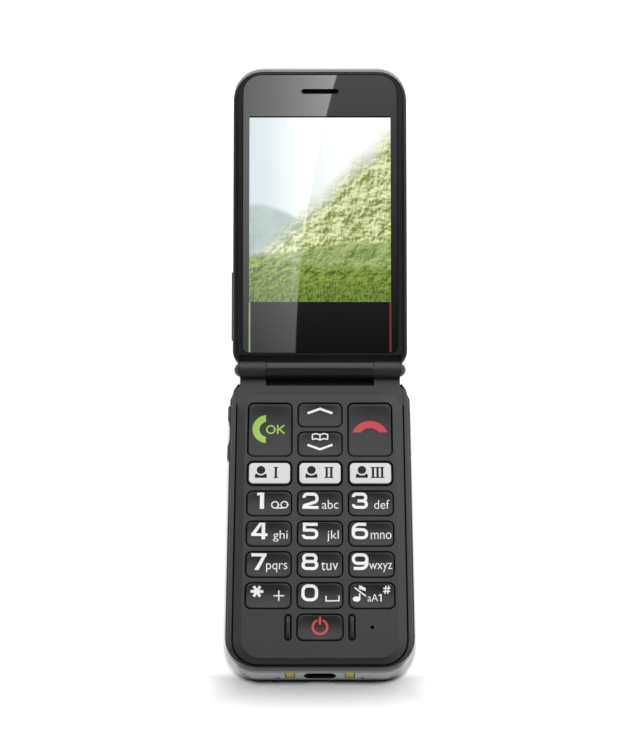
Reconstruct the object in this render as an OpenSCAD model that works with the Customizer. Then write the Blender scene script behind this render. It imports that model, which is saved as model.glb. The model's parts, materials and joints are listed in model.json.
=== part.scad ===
// Clamshell phone with large keys, modelled open.
// The keypad half lies on its rear cover at z = 0, with the hinge axis along X.
// Sizes along each half are measured from the hinge axis.

/* [Phone] */
// Width of both halves
body_w = 53.5; // [48:0.5:60]
// Hinge axis to the free end of the dark cases
half_len = 92.7; // [84:0.1:102]
// Thickness of the keypad half, from its rest face to the key deck
base_t = 10.4; // [9.4:0.1:12]
// Thickness of the display half
lid_t = 8.6; // [8:0.1:10]
// Gap between the halves when shut
seam_gap = 0.4; // [0.3:0.1:1]
// Angle between the halves when open
open_angle = 160; // [150:1:170]
// Plan radius of the free-end corners
corner_r = 9; // [7:0.5:10]
// Plan radius of the keypad half's hinge-end corners
hinge_corner_r = 8.5; // [7:0.5:9]
// Plan radius of the display half's hinge-end corners
lid_corner_r = 5.3; // [5:0.1:6]
// Hinge axis to the hinge end of the shells
hinge_inset = 0.6; // [0.4:0.1:1.2]

/* [Covers] */
// Wall of the pale covers
cover_t = 1.2; // [1:0.1:1.4]
// Depth of the display half's dark case
lid_split = 4.2; // [4.2:0.1:4.4]
// Width of the rounding along the covers' outer edge
edge_w = 3; // [2:0.2:3.4]
// Height of the rounding along the covers' outer edge
edge_h = 3.4; // [2.4:0.2:3.6]
// How far the outer cover stands past the display half's case at the free end
outer_bulge = 2.1; // [1.5:0.1:2.4]
// How far the foot of the rear cover's end wall stands past the frame
rear_bulge = 1.5; // [1.2:0.1:1.8]
// How far the rear cover stands past the frame at the sides
rear_side = 0.7; // [0.4:0.05:0.9]
// Width of the rounding at the foot of the rear cover's end wall
rear_edge = 0.6; // [0.4:0.1:0.9]
// How far the rear cover's end wall leans in from its foot to its top
rear_lean = 1.1; // [0.7:0.1:1.4]
// Roll-in of the covers where they meet the dark cases
cover_roll = 0.5; // [0.2:0.1:0.6]
// Thickness of the lip that nests inside a cover
lip_t = 1; // [0.8:0.1:1.2]
// Depth of the lip that nests inside a cover
lip_h = 1.5; // [1:0.1:1.8]
// Clearance around the lip
lip_clear = 0.25; // [0.1:0.05:0.4]
// Rounding of the dark cases' outer edge
case_edge = 0.9; // [0.5:0.1:1.2]

/* [Key deck] */
// Side of the body to the edge of the deck plate
deck_margin = 1.75; // [1.5:0.05:2]
// Groove between the deck plate and the frame
deck_groove = 0.5; // [0.3:0.1:0.6]
// Hinge axis to the hinge edge of the deck plate
deck_start = 4.84; // [4.7:0.02:5]
// Free end of the frame back to the deck plate
deck_end = 1; // [0.9:0.1:1.4]
// Plan width of the bevel round the raised deck
deck_bevel = 2.4; // [1.6:0.1:2.6]
// Plan width of the bevel at the free end
end_bevel = 1.7; // [1.4:0.1:2]
// Hinge axis to the foot of the bevel
bevel_start = 6.9; // [6.6:0.1:7.2]
// Deck top down to the rim
rim_drop = 0.8; // [0.5:0.1:1]
// Depth of the deck plate's skirt below the rim
skirt_h = 1; // [0.8:0.1:1.2]
// Width of the seat under the deck plate's edge
seat_w = 1.4; // [1.2:0.1:1.6]
// Thickness of the deck plate
deck_t = 1.5; // [1.4:0.1:1.6]
// Corner radius of the raised deck
deck_corner_r = 5.5; // [4:0.5:6]
// Corner radius of the deck plate at the hinge
plate_r = 1.2; // [0.8:0.1:2]
// Side wall of the frame
frame_wall = 2.55; // [2.3:0.05:2.8]

/* [Keys] */
// Side of the body to the outer keys
key_side = 5.15; // [5:0.05:5.6]
// Bar of deck between two key columns
col_web = 1.35; // [1.2:0.05:1.8]
// Bar of deck between two key rows
row_web = 1.21; // [1.1:0.01:1.8]
// Hinge axis to the first key row
row_start = 14.8; // [14.6:0.1:15.2]
// Free end of the frame back to the last key row
row_end = 11.68; // [11.4:0.02:12.4]
// Corner radius of a key
key_r = 1.7; // [1:0.1:2.4]
// Gap round a key
key_gap = 0.3; // [0.2:0.05:0.35]
// Key edge below the deck
key_recess = 0.1; // [0.05:0.05:0.3]
// Depth of the finger dish
key_dish = 0.35; // [0.1:0.05:0.5]
// Radius of the finger dish
dish_r = 55; // [40:1:90]
// Press travel of a key
key_travel = 0.4; // [0.2:0.05:0.5]
// Flange overlap under the deck
flange_lip = 0.4; // [0.2:0.05:0.4]
// Thickness of the flange
flange_t = 0.5; // [0.4:0.05:0.6]
// Gap above the flange
key_float = 0.1; // [0.05:0.05:0.15]
// Gap left under a pressed key
press_clear = 0.05; // [0.02:0.01:0.08]
// Radius of the nub under a key
nub_r = 1.2; // [0.8:0.1:2]
// Height of the nub under a key
nub_h = 0.25; // [0.15:0.05:0.5]
// Key frame round a contact key's label plate
label_edge = 0.4; // [0.3:0.05:1]
// Thickness of a label plate
label_t = 0.6; // [0.4:0.05:0.8]
// Corner radius of a label plate
label_r = 1.3; // [0.6:0.1:2]
// Gap round a label plate
label_clear = 0.05; // [0.03:0.01:0.1]

/* [Power row] */
// Power key to the middle of a guard bar
bar_step = 2.65; // [2.4:0.05:3.4]
// Width of a guard bar
bar_w = 1.7; // [1.4:0.1:2]
// Length of a guard bar
bar_l = 7.6; // [6:0.1:8]
// Height of a guard bar above the deck
bar_rise = 0.3; // [0.1:0.05:0.35]
// Depth of a guard bar's seat
bar_seat = 0.9; // [0.6:0.1:1]
// Gap round a guard bar
bar_gap = 0.25; // [0.1:0.05:0.3]
// Radius of a guard bar's crown
bar_crown = 1.6; // [1.2:0.1:3]
// Microphone hole
mic_hole_d = 1.1; // [0.8:0.1:1.4]
// Microphone capsule
mic_d = 4; // [3:0.5:5]
// Height of the microphone capsule
mic_h = 1.2; // [0.8:0.1:1.3]

/* [Hinge] */
// Radius of the barrel and knuckles
barrel_r = 2.65; // [2.5:0.05:2.75]
// Side of the body to a knuckle
knuckle_side = 2.35; // [2.1:0.05:3]
// Gap between barrel and knuckles
knuckle_gap = 0.25; // [0.2:0.05:0.4]
// Length of a knuckle
knuckle_w = 7.9; // [7:0.1:8]
// Barrel to the trough behind it
trough_gap = 0.45; // [0.3:0.05:0.5]
// Gap beside the knuckles
trough_side = 0.3; // [0.2:0.05:0.4]
// Hinge axis to the end of the web in front of a knuckle
web_end = 3.7; // [3.4:0.1:4.4]
// Angle below the axis where that web leaves the knuckle
web_turn = 20; // [10:1:30]
// Height of the barrel's neck above the trough
neck_h = 0.7; // [0.5:0.1:1.8]
// Radius of an end cap
cap_r = 2.1; // [1.8:0.05:2.2]
// Gap between an end cap and the display half's case
cap_gap = 0.3; // [0.25:0.05:0.4]
// Height of an end cap
cap_h = 1.8; // [1.2:0.1:1.8]
// Radius of the pins in the knuckles
pin_r = 1.45; // [1.3:0.05:1.6]
// Radius of the drive shaft inside the cartridge
drive_r = 1; // [0.8:0.05:1.1]
// Radius of the hinge cartridge
cartridge_r = 1.95; // [1.8:0.05:2]
// Length of the hinge cartridge
cartridge_l = 12; // [10:0.5:14]
// Depth of the drive shaft in the cartridge
drive_l = 6; // [4:0.5:8]
// Length of the pivot bush inside the barrel
pivot_l = 8; // [6:0.5:9]
// Wall of the pivot bush
pivot_t = 0.6; // [0.4:0.05:0.7]
// Running clearance of the hinge
hinge_fit = 0.05; // [0.03:0.01:0.08]
// Wall of the rolled flexible circuit
flex_t = 0.8; // [0.5:0.1:1]

/* [Display half] */
// Side of the body to the lens
lens_side = 3.05; // [2.8:0.05:3.5]
// Hinge axis to the lens
lens_start = 5.3; // [5.2:0.1:5.6]
// Lens back from the free end
lens_end = 1.2; // [1.1:0.1:1.6]
// Thickness of the lens
lens_t = 1.1; // [0.8:0.1:1.2]
// Lens below the bezel
lens_recess = 0.15; // [0.1:0.05:0.3]
// Gap round the lens
lens_gap = 0.15; // [0.1:0.05:0.2]
// Corner radius of the lens at the free end
lens_r = 5.6; // [4:0.2:6.5]
// Corner radius of the lens at the hinge
lens_hinge_r = 1.9; // [1:0.1:3]
// Thickness of the ledge behind the lens
lens_ledge = 0.7; // [0.5:0.1:0.8]
// Hinge axis to the bezel's lower edge
bezel_start = 4.6; // [4.4:0.1:4.7]
// Outline to the groove in the bezel
bezel_margin = 1.05; // [0.9:0.05:1.1]
// Free end back to the groove in the bezel
bezel_end = 0.3; // [0.25:0.05:0.35]
// Width of the groove in the bezel
bezel_groove = 0.4; // [0.3:0.1:0.6]
// Depth of the groove in the bezel
bezel_depth = 0.6; // [0.3:0.1:1]
// Side wall of the display half's case
lid_wall = 2; // [1.8:0.1:2.2]
// Side of the body to the picture
display_side = 5; // [4.8:0.05:5.8]
// Free end back to the picture
display_top = 14.55; // [14.2:0.05:15.4]
// Hinge axis to the picture
display_start = 20.95; // [20.5:0.05:21.5]
// Border of the display module
display_border = 1.2; // [1:0.1:1.5]
// Driver strip of the display module
display_tail = 4; // [3:0.5:6]
// Thickness of the display module
display_t = 1.9; // [1.6:0.1:2]
// Gap round the display module
display_gap = 0.15; // [0.1:0.05:0.2]
// Length of the earpiece slot
ear_w = 11.5; // [9:0.5:13]
// Height of the earpiece slot
ear_h = 1.45; // [1:0.05:2]
// Free end back to the earpiece slot
ear_end = 6.35; // [6:0.05:7]
// Width of the earpiece speaker
receiver_w = 12; // [10:0.5:14]
// Length of the earpiece speaker
receiver_l = 5; // [4:0.5:5.5]
// Thickness of the earpiece speaker
receiver_t = 1.9; // [1.4:0.1:2]
// Thickness of the earpiece mesh
mesh_t = 0.2; // [0.1:0.05:0.3]
// Edge of the mesh round the slot
mesh_edge = 0.45; // [0.3:0.05:0.6]
// Edge of the picture to the lid board
lid_board_inset = 2; // [1:0.5:4]
// Thickness of both lid and port boards
small_board_t = 0.6; // [0.4:0.1:0.7]
// Width of the closing magnet
magnet_w = 5; // [3:0.5:6]
// Length of the closing magnet
magnet_l = 3; // [2:0.5:4]
// Thickness of the closing magnet
magnet_t = 1.6; // [1:0.1:1.8]
// Side of the body to the middle of the closing magnet
magnet_side = 11.75; // [9:0.25:13]

/* [Outer side of the display half] */
// Width of the outer window
window_w = 30; // [26:1:36]
// Length of the outer window
window_l = 38; // [34:1:44]
// Free end back to the outer window
window_end = 10.7; // [9:0.1:16]
// Corner radius of the outer window
window_r = 5; // [3:0.5:8]
// Thickness of the outer window
window_t = 0.7; // [0.5:0.05:0.75]
// Gap round and behind the outer window
window_gap = 0.08; // [0.05:0.01:0.1]
// Width of the outer picture
outer_w = 22; // [18:0.5:24]
// Length of the outer picture
outer_l = 17; // [14:0.5:18]
// Border of the outer display
outer_border = 1.5; // [1:0.1:2]
// Thickness of the outer display
outer_t = 1.6; // [1.2:0.1:2]
// Radius of the camera barrel
camera_r = 2.4; // [2:0.1:3]
// Side of the camera body
camera_w = 7.5; // [7:0.5:9]
// Thickness of the camera body
camera_t = 2.4; // [2:0.1:2.6]
// Gap round the camera barrel
camera_gap = 0.2; // [0.1:0.05:0.3]
// Distance from the picture to the camera
camera_step = 8; // [7.5:0.5:9]

/* [Side keys] */
// Length of the volume rocker
rocker_l = 17.9; // [16:0.1:20]
// Height of the volume rocker
rocker_h = 1.6; // [1.2:0.1:1.65]
// Hinge axis to the middle of the rocker
rocker_s = 19.9; // [19:0.1:22]
// Rocker past the side of the body
rocker_rise = 1.15; // [0.6:0.05:1.3]
// Dip in the middle of the rocker
rocker_dip = 0.7; // [0.2:0.05:0.8]
// Radius of the dip
rocker_dip_r = 14; // [8:1:20]
// Gap round the side keys
side_gap = 0.15; // [0.1:0.05:0.2]
// Flange overlap of the side keys
side_lip = 0.4; // [0.3:0.05:0.5]
// Thickness of the side keys' flange
side_flange_t = 0.6; // [0.4:0.1:0.7]
// Room on each side of the rocker's flange
rocker_room = 0.3; // [0.25:0.05:0.35]
// Radius of the bead that the rocker pivots on
bead_r = 0.45; // [0.4:0.05:0.5]
// Length of the lid's side key
side_key_l = 21.2; // [16:0.2:24]
// Height of the lid's side key
side_key_h = 1.4; // [1:0.1:1.45]
// Hinge axis to the middle of the lid's side key
side_key_s = 19.8; // [18:0.2:22]
// Lid's side key past the side of the body
side_key_rise = 0.45; // [0.35:0.05:0.6]

/* [Inside the keypad half] */
// Thickness of the frame's floor
floor_t = 0.5; // [0.4:0.05:0.55]
// Thickness of the main board
board_t = 0.6; // [0.5:0.05:0.65]
// Edge of the main board past the outer keys
board_edge = 0.4; // [0.2:0.1:0.6]
// Thickness of the dome sheet
sheet_t = 0.1; // [0.05:0.05:0.15]
// Radius of a snap dome
dome_r = 2; // [1.5:0.1:2.5]
// Height of a snap dome
dome_h = 0.2; // [0.1:0.05:0.25]
// Corner radius of boards and bought units
board_r = 1; // [0.5:0.1:1.5]
// Side of the body to the battery
battery_side = 8.75; // [6:0.25:11]
// Hinge axis to the battery
battery_start = 27; // [26.5:0.5:28]
// Free end of the frame back to the battery
battery_end = 15.7; // [15.3:0.1:24]
// Gap above and below the battery
battery_gap = 0.25; // [0.1:0.05:0.4]
// Wall of the battery bay
bay_t = 1.2; // [0.8:0.1:1.4]
// Gap between battery and bay
bay_gap = 0.3; // [0.2:0.05:0.4]
// Side of the body to the case screws
screw_side = 6.75; // [6.5:0.05:7]
// Gap between the main board and a screw boss
board_gap = 0.4; // [0.3:0.05:0.5]
// Radius of a screw
screw_r = 0.7; // [0.5:0.05:0.8]
// Radius of a screw head
screw_head_r = 1.3; // [1:0.05:1.5]
// Height of a screw head
screw_head_h = 0.7; // [0.5:0.05:0.9]
// Radius of a screw boss
boss_r = 1.5; // [1.3:0.1:1.6]
// Clearance round a screw
screw_clear = 0.03; // [0.02:0.01:0.06]
// Width of the loudspeaker
speaker_w = 13; // [11:0.5:14]
// Length of the loudspeaker
speaker_l = 12; // [10:0.5:13]
// Wall of the loudspeaker
speaker_wall = 1.2; // [0.8:0.1:1.6]
// Side of the body to the middle of the loudspeaker
speaker_side = 11.45; // [11:0.05:12]
// Gap between a screw head and the loudspeaker
speaker_room = 0.7; // [0.4:0.1:1.4]
// Number of loudspeaker slots
speaker_slots = 5; // [3:1:6]
// Width of a loudspeaker slot
speaker_slot_w = 0.9; // [0.6:0.1:1.1]
// Spacing of the loudspeaker slots
speaker_pitch = 1.9; // [1.6:0.1:2]
// Width of the SIM holder
sim_w = 10.5; // [10.2:0.1:12]
// Length of the SIM holder
sim_l = 12.8; // [12:0.2:13.2]
// Thickness of the SIM holder
sim_t = 1.4; // [1.2:0.1:1.8]
// Slot for the SIM card
sim_slot_t = 0.9; // [0.8:0.05:1]
// Side wall of the SIM holder
sim_wall = 0.6; // [0.4:0.1:0.7]
// Length of the vibration motor
motor_l = 7; // [6:0.5:8]
// Length of the motor's weight
weight_l = 3; // [2:0.5:3.5]
// Shaft between the motor and its weight
shaft_l = 1; // [0.6:0.1:1.5]
// Radius of the motor's shaft
shaft_r = 0.6; // [0.4:0.1:0.8]
// Side of the body to the motor's weight
motor_side = 4.75; // [4:0.25:6]

/* [Bottom end] */
// Width of the USB socket shell
usb_w = 8.94; // [8.94:0.02:9.2]
// Height of the USB socket shell
usb_h = 3.16; // [3.16:0.02:3.3]
// Wall of the USB socket shell
usb_t = 0.3; // [0.2:0.05:0.35]
// Depth of the USB socket
usb_l = 7.3; // [6.5:0.1:8]
// Gap above the port board
port_gap = 0.32; // [0.2:0.02:0.4]
// USB socket back from the end face
usb_inset = 0.5; // [0.3:0.1:1]
// Gap round the USB socket
usb_gap = 0.2; // [0.1:0.05:0.3]
// Width of the USB tongue
tongue_w = 6.7; // [6:0.1:7]
// Thickness of the USB tongue
tongue_t = 0.7; // [0.6:0.05:0.8]
// Tongue back from the mouth
tongue_inset = 1.2; // [0.8:0.1:1.6]
// Thickness of the USB socket's back wall
usb_back_t = 1; // [0.6:0.1:1.4]
// Width of the port board
port_board_w = 25; // [22:0.5:28]
// Length of the port board
port_board_l = 10.4; // [9:0.2:11]
// Centre line to a charging contact
contact_x = 8.6; // [8.2:0.1:9.5]
// Width of a charging contact
contact_w = 2.7; // [2:0.1:3]
// Height of a charging contact
contact_h = 3; // [2.4:0.1:3.2]
// Thickness of a charging contact
contact_t = 0.9; // [0.6:0.1:1]
// Middle of a contact above the middle of the USB socket
contact_lift = 0.3; // [0.1:0.1:0.4]
// Charging contact back from the end face
contact_inset = 0.12; // [0.05:0.01:0.3]
// Gap round a charging contact
contact_gap = 0.12; // [0.08:0.01:0.2]
// Length of a contact from its face to its foot
contact_l = 4.3; // [3.8:0.1:4.8]
// Length of a contact's foot
foot_l = 1.6; // [1:0.1:2]
// Centre line to a notch in the end
notch_x = 12.2; // [11.8:0.1:13]
// Radius of a notch in the end
notch_r = 0.6; // [0.4:0.1:0.8]

/* [Hidden] */
$fn = 48;
skin = 0.01;
cut = 1;
number_names = ["1", "2", "3", "4", "5", "6", "7", "8", "9", "star", "0", "hash"];
contact_names = ["1", "2", "3"];
key_rows = 8;
key_columns = 3;
contact_row = 2;
number_row = 3;
cover_turn = 18;
case_turn = 30;

outer_end = half_len + outer_bulge;
rear_end = half_len + rear_bulge;
hinge_y = (rear_end - rear_edge + hinge_inset + edge_w)/2;
hinge_z = base_t + seam_gap/2;

rim_z = base_t - rim_drop;
seat_z = rim_z - skirt_h;
deck_under = base_t - deck_t;
deck_w = body_w - 2*deck_margin;
deck_far = half_len - deck_end;
bevel_far = deck_far - end_bevel;
trough_r = barrel_r + trough_gap;
knuckle_out = body_w/2 - knuckle_side;
knuckle_in = knuckle_out - knuckle_w;
barrel_w = 2*(knuckle_in - knuckle_gap);
trough_half = knuckle_out + trough_side;

key_top = base_t - key_recess;
flange_top = deck_under - key_float;
flange_z = flange_top - flange_t;
nub_z = flange_z - nub_h;
sheet_z = nub_z - key_travel - press_clear - dome_h;
board_z = sheet_z - sheet_t;
floor_z = board_z - board_t;
base_split = floor_z - floor_t;

col_gap = col_web + 2*key_gap;
key_w = (body_w - 2*key_side - (key_columns - 1)*col_gap)/key_columns;
col_pitch = key_w + col_gap;
row_pitch = (half_len - row_start - row_end)/(key_rows - 1);
key_l = row_pitch - row_web - 2*key_gap;
flange_grow = key_gap + flange_lip;
power_s = half_len - row_end;
tall_key_l = key_l + row_pitch;
tall_key_s = row_start + row_pitch/2;
label_w = key_w - 2*label_edge;
label_l = key_l - 2*label_edge;
bar_x = key_w/2 + bar_step;

board_w = 2*col_pitch + key_w + 2*flange_grow + 2*board_edge;
board_start = row_start - key_l/2 - flange_grow - board_edge;
board_end = power_s + key_l/2 + flange_grow + board_edge;
screw_x = body_w/2 - screw_side;
screw_near = board_start - board_gap - boss_r;
screw_far = board_end + board_gap + boss_r;
battery_w = body_w - 2*battery_side;
battery_l = half_len - battery_start - battery_end;
speaker_x = body_w/2 - speaker_side;
speaker_s = screw_near + screw_head_r + speaker_room + speaker_l/2;
motor_r = (base_split - cover_t)/2 - battery_gap;

lid_in = -seam_gap/2;
lid_mid = lid_in - lid_split;
lid_out = lid_in - lid_t;
lens_w = body_w - 2*lens_side;
lens_top = lid_in - lens_recess;
lens_seat = lens_top - lens_t;
ledge_z = lens_seat - lens_ledge;
lens_far = half_len - lens_end;
display_w = body_w - 2*display_side;
display_end = half_len - display_top;
display_z = lens_seat - display_gap;
display_back = display_z - display_t;
ear_s = half_len - ear_end;
window_start = half_len - window_end - window_l;

port_z = base_split - port_gap - small_board_t;
usb_z = port_z - usb_h/2;
usb_front = end_wall(usb_z) - usb_inset;
contact_z = usb_z + contact_lift;
rocker_z = (floor_z + seat_z)/2;
rocker_x = body_w/2 - frame_wall + side_flange_t/2 + rocker_room;
side_key_z = (ledge_z + lid_mid)/2;

// Place of the rear cover's leaning end wall at a height
function end_wall(z) = rear_end - rear_lean*z/base_split;

// Places of the keys across and along the keypad
function column_x(column) = (column - 1)*col_pitch;
function row_s(row) = row_start + row*row_pitch;

// Flange behind a side key, longer than the slot that it fills
function side_flange_l(key_length) = key_length + 2*side_gap + 2*side_lip;

// The keypad half, drawn with y as the distance from the hinge axis
module in_base() {
    translate([0, hinge_y, 0])
        mirror([0, 1, 0])
            children();
}

// The display half, drawn from the hinge axis as if it were opened flat
module in_lid() {
    translate([0, hinge_y, hinge_z])
        rotate([180 - open_angle, 0, 0])
            children();
}

// Rounded outline from near to far, with its own radius at each end
module outline(w, near, far, near_r, far_r) {
    middle = (near + far)/2;
    translate([-w/2, near + near_r])
        square([w, far - far_r - near - near_r]);
    translate([-w/2 + near_r, near])
        square([w - 2*near_r, middle - near]);
    translate([-w/2 + far_r, middle])
        square([w - 2*far_r, far - middle]);
    for (side = [-1, 1]) {
        translate([side*(w/2 - near_r), near + near_r])
            circle(near_r);
        translate([side*(w/2 - far_r), far - far_r])
            circle(far_r);
    }
}

// Rounded rectangle about the origin
module pad(w, l, r) {
    outline(w, -l/2, l/2, r, r);
}

// Slot with round ends along x, about the origin
module slot(w, h) {
    square([w - h, h], center = true);
    for (side = [-1, 1])
        translate([side*(w - h)/2, 0])
            circle(h/2);
}

// Outline of the dark cases, drawn in by a margin
module case_outline(margin, near_r) {
    outline(body_w - 2*margin, hinge_inset + margin, half_len - margin, near_r - margin, corner_r - margin);
}

// Extrudes an outline of x and z along the half, or of y and z across it
module along_x(from, to) {
    translate([from, 0, 0])
        rotate([90, 0, 90])
            linear_extrude(to - from)
                children();
}

module along_s(from, to) {
    translate([0, to, 0])
        rotate([90, 0, 0])
            linear_extrude(to - from)
                children();
}

module layer(from, to) {
    translate([0, 0, from])
        linear_extrude(to - from)
            children();
}

module rod_x(from, to, r) {
    translate([from, 0, 0])
        rotate([0, 90, 0])
            cylinder(h = to - from, r = r);
}

// Pale shell with a rounded outer edge and a leaning end wall, outer face at z = 0, open at the top
module cover_shell(depth, side, end, end_edge, lean, near_r) {
    difference() {
        hull() {
            for (turn = [0:cover_turn:90])
                layer(edge_h*(1 - cos(turn)), edge_h*(1 - cos(turn)) + skin)
                    cover_outline(edge_w*(1 - sin(turn)), side,
                                  end - end_edge*(1 - sin(turn)) - lean*(1 - cos(turn))*edge_h/depth, near_r);
            layer(depth - cover_roll - skin, depth - cover_roll)
                cover_outline(0, side/2, end - lean*(1 - cover_roll/depth), near_r);
            layer(depth - skin, depth)
                cover_outline(0, 0, end - lean - cover_roll, near_r);
        }
        hull() {
            layer(cover_t, cover_t + skin)
                case_outline(cover_t + edge_w/2, near_r, $fn = 32);
            layer(min(edge_h, depth - lip_h - lip_clear), depth + cut)
                case_outline(cover_t, near_r, $fn = 32);
        }
    }
}

// Outline of a pale cover, drawn in by a margin
module cover_outline(margin, side, end, near_r) {
    outline(body_w + 2*side - 2*margin, hinge_inset + margin, end, near_r - margin, corner_r - margin, $fn = 32);
}

// Dark case blank with its outer edge rounded at the top
module case_blank(from, to, near_r) {
    hull() {
        layer(from, to - case_edge)
            case_outline(0, near_r, $fn = 32);
        for (turn = [case_turn:case_turn:90])
            layer(to - case_edge*(1 - sin(turn)) - skin, to - case_edge*(1 - sin(turn)))
                case_outline(case_edge*(1 - cos(turn)), near_r, $fn = 32);
    }
}

// Ring that nests inside a cover
module nesting_lip(from, to, near_r) {
    layer(from, to)
        difference() {
            case_outline(cover_t + lip_clear, near_r);
            case_outline(cover_t + lip_clear + lip_t, near_r);
        }
}

// Every key's plan place, with the tall keys beside the two short ones
module at_keys() {
    for (row = [0, 1, key_rows - 1])
        translate([column_x(1), row_s(row), 0])
            children(0);
    for (row = [contact_row:key_rows - 2], column = [0:key_columns - 1])
        translate([column_x(column), row_s(row), 0])
            children(0);
    for (column = [0, key_columns - 1])
        translate([column_x(column), tall_key_s, 0])
            children(1);
}

module at_screws() {
    for (side = [-1, 1], s = [screw_near, screw_far])
        translate([side*screw_x, s, 0])
            children();
}

module base_front_case() {
    color("#474747")
        in_base()
            difference() {
                union() {
                    difference() {
                        union() {
                            layer(seat_z, rim_z)
                                outline(deck_w, deck_start, deck_far, plate_r, corner_r - deck_margin);
                            raised_deck();
                        }
                        layer(seat_z - cut, deck_under)
                            outline(deck_w - 2*seat_w, deck_start + seat_w, deck_far - seat_w,
                                    plate_r, corner_r - deck_margin - seat_w);
                    }
                    at_screws()
                        layer(floor_z, deck_under + skin)
                            circle(boss_r);
                    knuckles();
                }
                at_screws()
                    layer(floor_z - cut, deck_under)
                        circle(screw_r + screw_clear);
                translate([0, 0, hinge_z])
                    rod_x(-knuckle_out - cut, knuckle_out + cut, pin_r + hinge_fit);
                at_keys() {
                    layer(deck_under - cut, base_t + cut)
                        pad(key_w + 2*key_gap, key_l + 2*key_gap, key_r + key_gap);
                    layer(deck_under - cut, base_t + cut)
                        pad(key_w + 2*key_gap, tall_key_l + 2*key_gap, key_r + key_gap);
                }
                for (side = [-1, 1])
                    translate([side*bar_x, power_s, 0])
                        layer(base_t - bar_seat, base_t + cut)
                            rotate(90)
                                slot(bar_l + 2*bar_gap, bar_w + 2*bar_gap);
                translate([col_pitch, power_s, 0])
                    layer(deck_under - cut, base_t + cut)
                        circle(d = mic_hole_d);
            }
}

// Bevelled plateau that carries the keys
module raised_deck() {
    hull() {
        layer(deck_under, rim_z)
            outline(deck_w, bevel_start, deck_far, deck_corner_r + deck_bevel/2, corner_r - deck_margin,
                    $fn = 32);
        layer(base_t - skin, base_t)
            outline(deck_w - 2*deck_bevel, bevel_start + deck_bevel, bevel_far,
                    deck_corner_r, deck_corner_r, $fn = 32);
    }
}

// Outer hinge knuckles with the webs that run into the deck plate
module knuckles() {
    for (side = [-1, 1])
        translate([side*(knuckle_in + knuckle_w/2), 0, hinge_z]) {
            rod_x(-knuckle_w/2, knuckle_w/2, barrel_r);
            along_x(-knuckle_w/2, knuckle_w/2)
                polygon([[0, -barrel_r], [bevel_start, -barrel_r], [bevel_start, rim_z - hinge_z],
                         [web_end, rim_z - hinge_z], [barrel_r*cos(web_turn), -barrel_r*sin(web_turn)], [0, 0]]);
        }
}

module base_frame() {
    color("#2f2f2f")
        in_base()
            difference() {
                union() {
                    difference() {
                        case_blank(base_split, rim_z, hinge_corner_r);
                        layer(seat_z, rim_z + cut)
                            outline(deck_w + 2*deck_groove, deck_start - deck_groove, deck_far + deck_groove,
                                    plate_r, corner_r - deck_margin + deck_groove);
                        layer(floor_z, seat_z + cut)
                            outline(body_w - 2*frame_wall, screw_near - boss_r - lip_clear, deck_far - seat_w,
                                    plate_r, corner_r - frame_wall);
                        along_x(-trough_half, trough_half)
                            translate([hinge_inset - cut, hinge_z - trough_r])
                                square([bevel_start + trough_side - hinge_inset + cut, trough_r + cut]);
                    }
                    nesting_lip(base_split - lip_h, base_split + skin, hinge_corner_r);
                    battery_bay();
                }
                at_screws()
                    layer(base_split - cut, floor_z + cut)
                        circle(screw_r + screw_clear);
                end_clearance();
                rocker_slot();
            }
}

// Rib round the battery, under the frame's floor
module battery_bay() {
    translate([0, battery_start + battery_l/2, 0])
        layer(cover_t + battery_gap, base_split + skin)
            difference() {
                square([battery_w + 2*bay_gap + 2*bay_t, battery_l + 2*bay_gap + 2*bay_t], center = true);
                square([battery_w + 2*bay_gap, battery_l + 2*bay_gap], center = true);
            }
}

// Room in the lip for the socket, its board and the charging contacts
module end_clearance() {
    half = port_board_w/2 + lip_clear;
    translate([-half, half_len - corner_r, base_split - lip_h - cut])
        cube([2*half, corner_r, lip_h + cut]);
}

// Opening in the frame's left wall for the rocker and its flange
module rocker_slot() {
    translate([-body_w/2, rocker_s, rocker_z]) {
        cube([2*frame_wall + 2*cut, rocker_l + 2*side_gap, rocker_h + 2*side_gap], center = true);
        translate([frame_wall - side_flange_t - 2*rocker_room, -side_flange_l(rocker_l)/2 - side_gap,
                   floor_z - rocker_z])
            cube([side_flange_t + 2*rocker_room + cut, side_flange_l(rocker_l) + 2*side_gap, seat_z - floor_z]);
    }
}

module base_rear_cover() {
    color("#c4c6c8")
        in_base()
            difference() {
                cover_shell(base_split, rear_side, rear_end, rear_edge, rear_lean, hinge_corner_r);
                along_s(rear_end - cover_t - edge_w, rear_end + cut) {
                    translate([0, usb_z])
                        slot(usb_w + 2*usb_gap, usb_h + 2*usb_gap);
                    for (side = [-1, 1])
                        translate([side*contact_x, contact_z])
                            square([contact_w + 2*contact_gap, contact_h + 2*contact_gap], center = true);
                }
                for (side = [-1, 1])
                    translate([side*notch_x, end_wall(edge_h/2), edge_h/2])
                        layer(-notch_r, 2*notch_r)
                            circle(notch_r);
                for (i = [0:speaker_slots - 1])
                    translate([speaker_x, speaker_s + (i - (speaker_slots - 1)/2)*speaker_pitch, 0])
                        layer(-cut, cover_t + cut)
                            slot(speaker_w - 2*speaker_wall, speaker_slot_w);
            }
}

module case_screws() {
    color("#8a8d90")
        in_base()
            at_screws() {
                layer(base_split - screw_head_h, base_split)
                    circle(screw_head_r);
                layer(base_split - skin, deck_under - key_float)
                    circle(screw_r);
            }
}

module main_board() {
    color("#1f5a37")
        in_base()
            layer(floor_z, board_z)
                outline(board_w, board_start, board_end, board_r, board_r);
}

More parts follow.
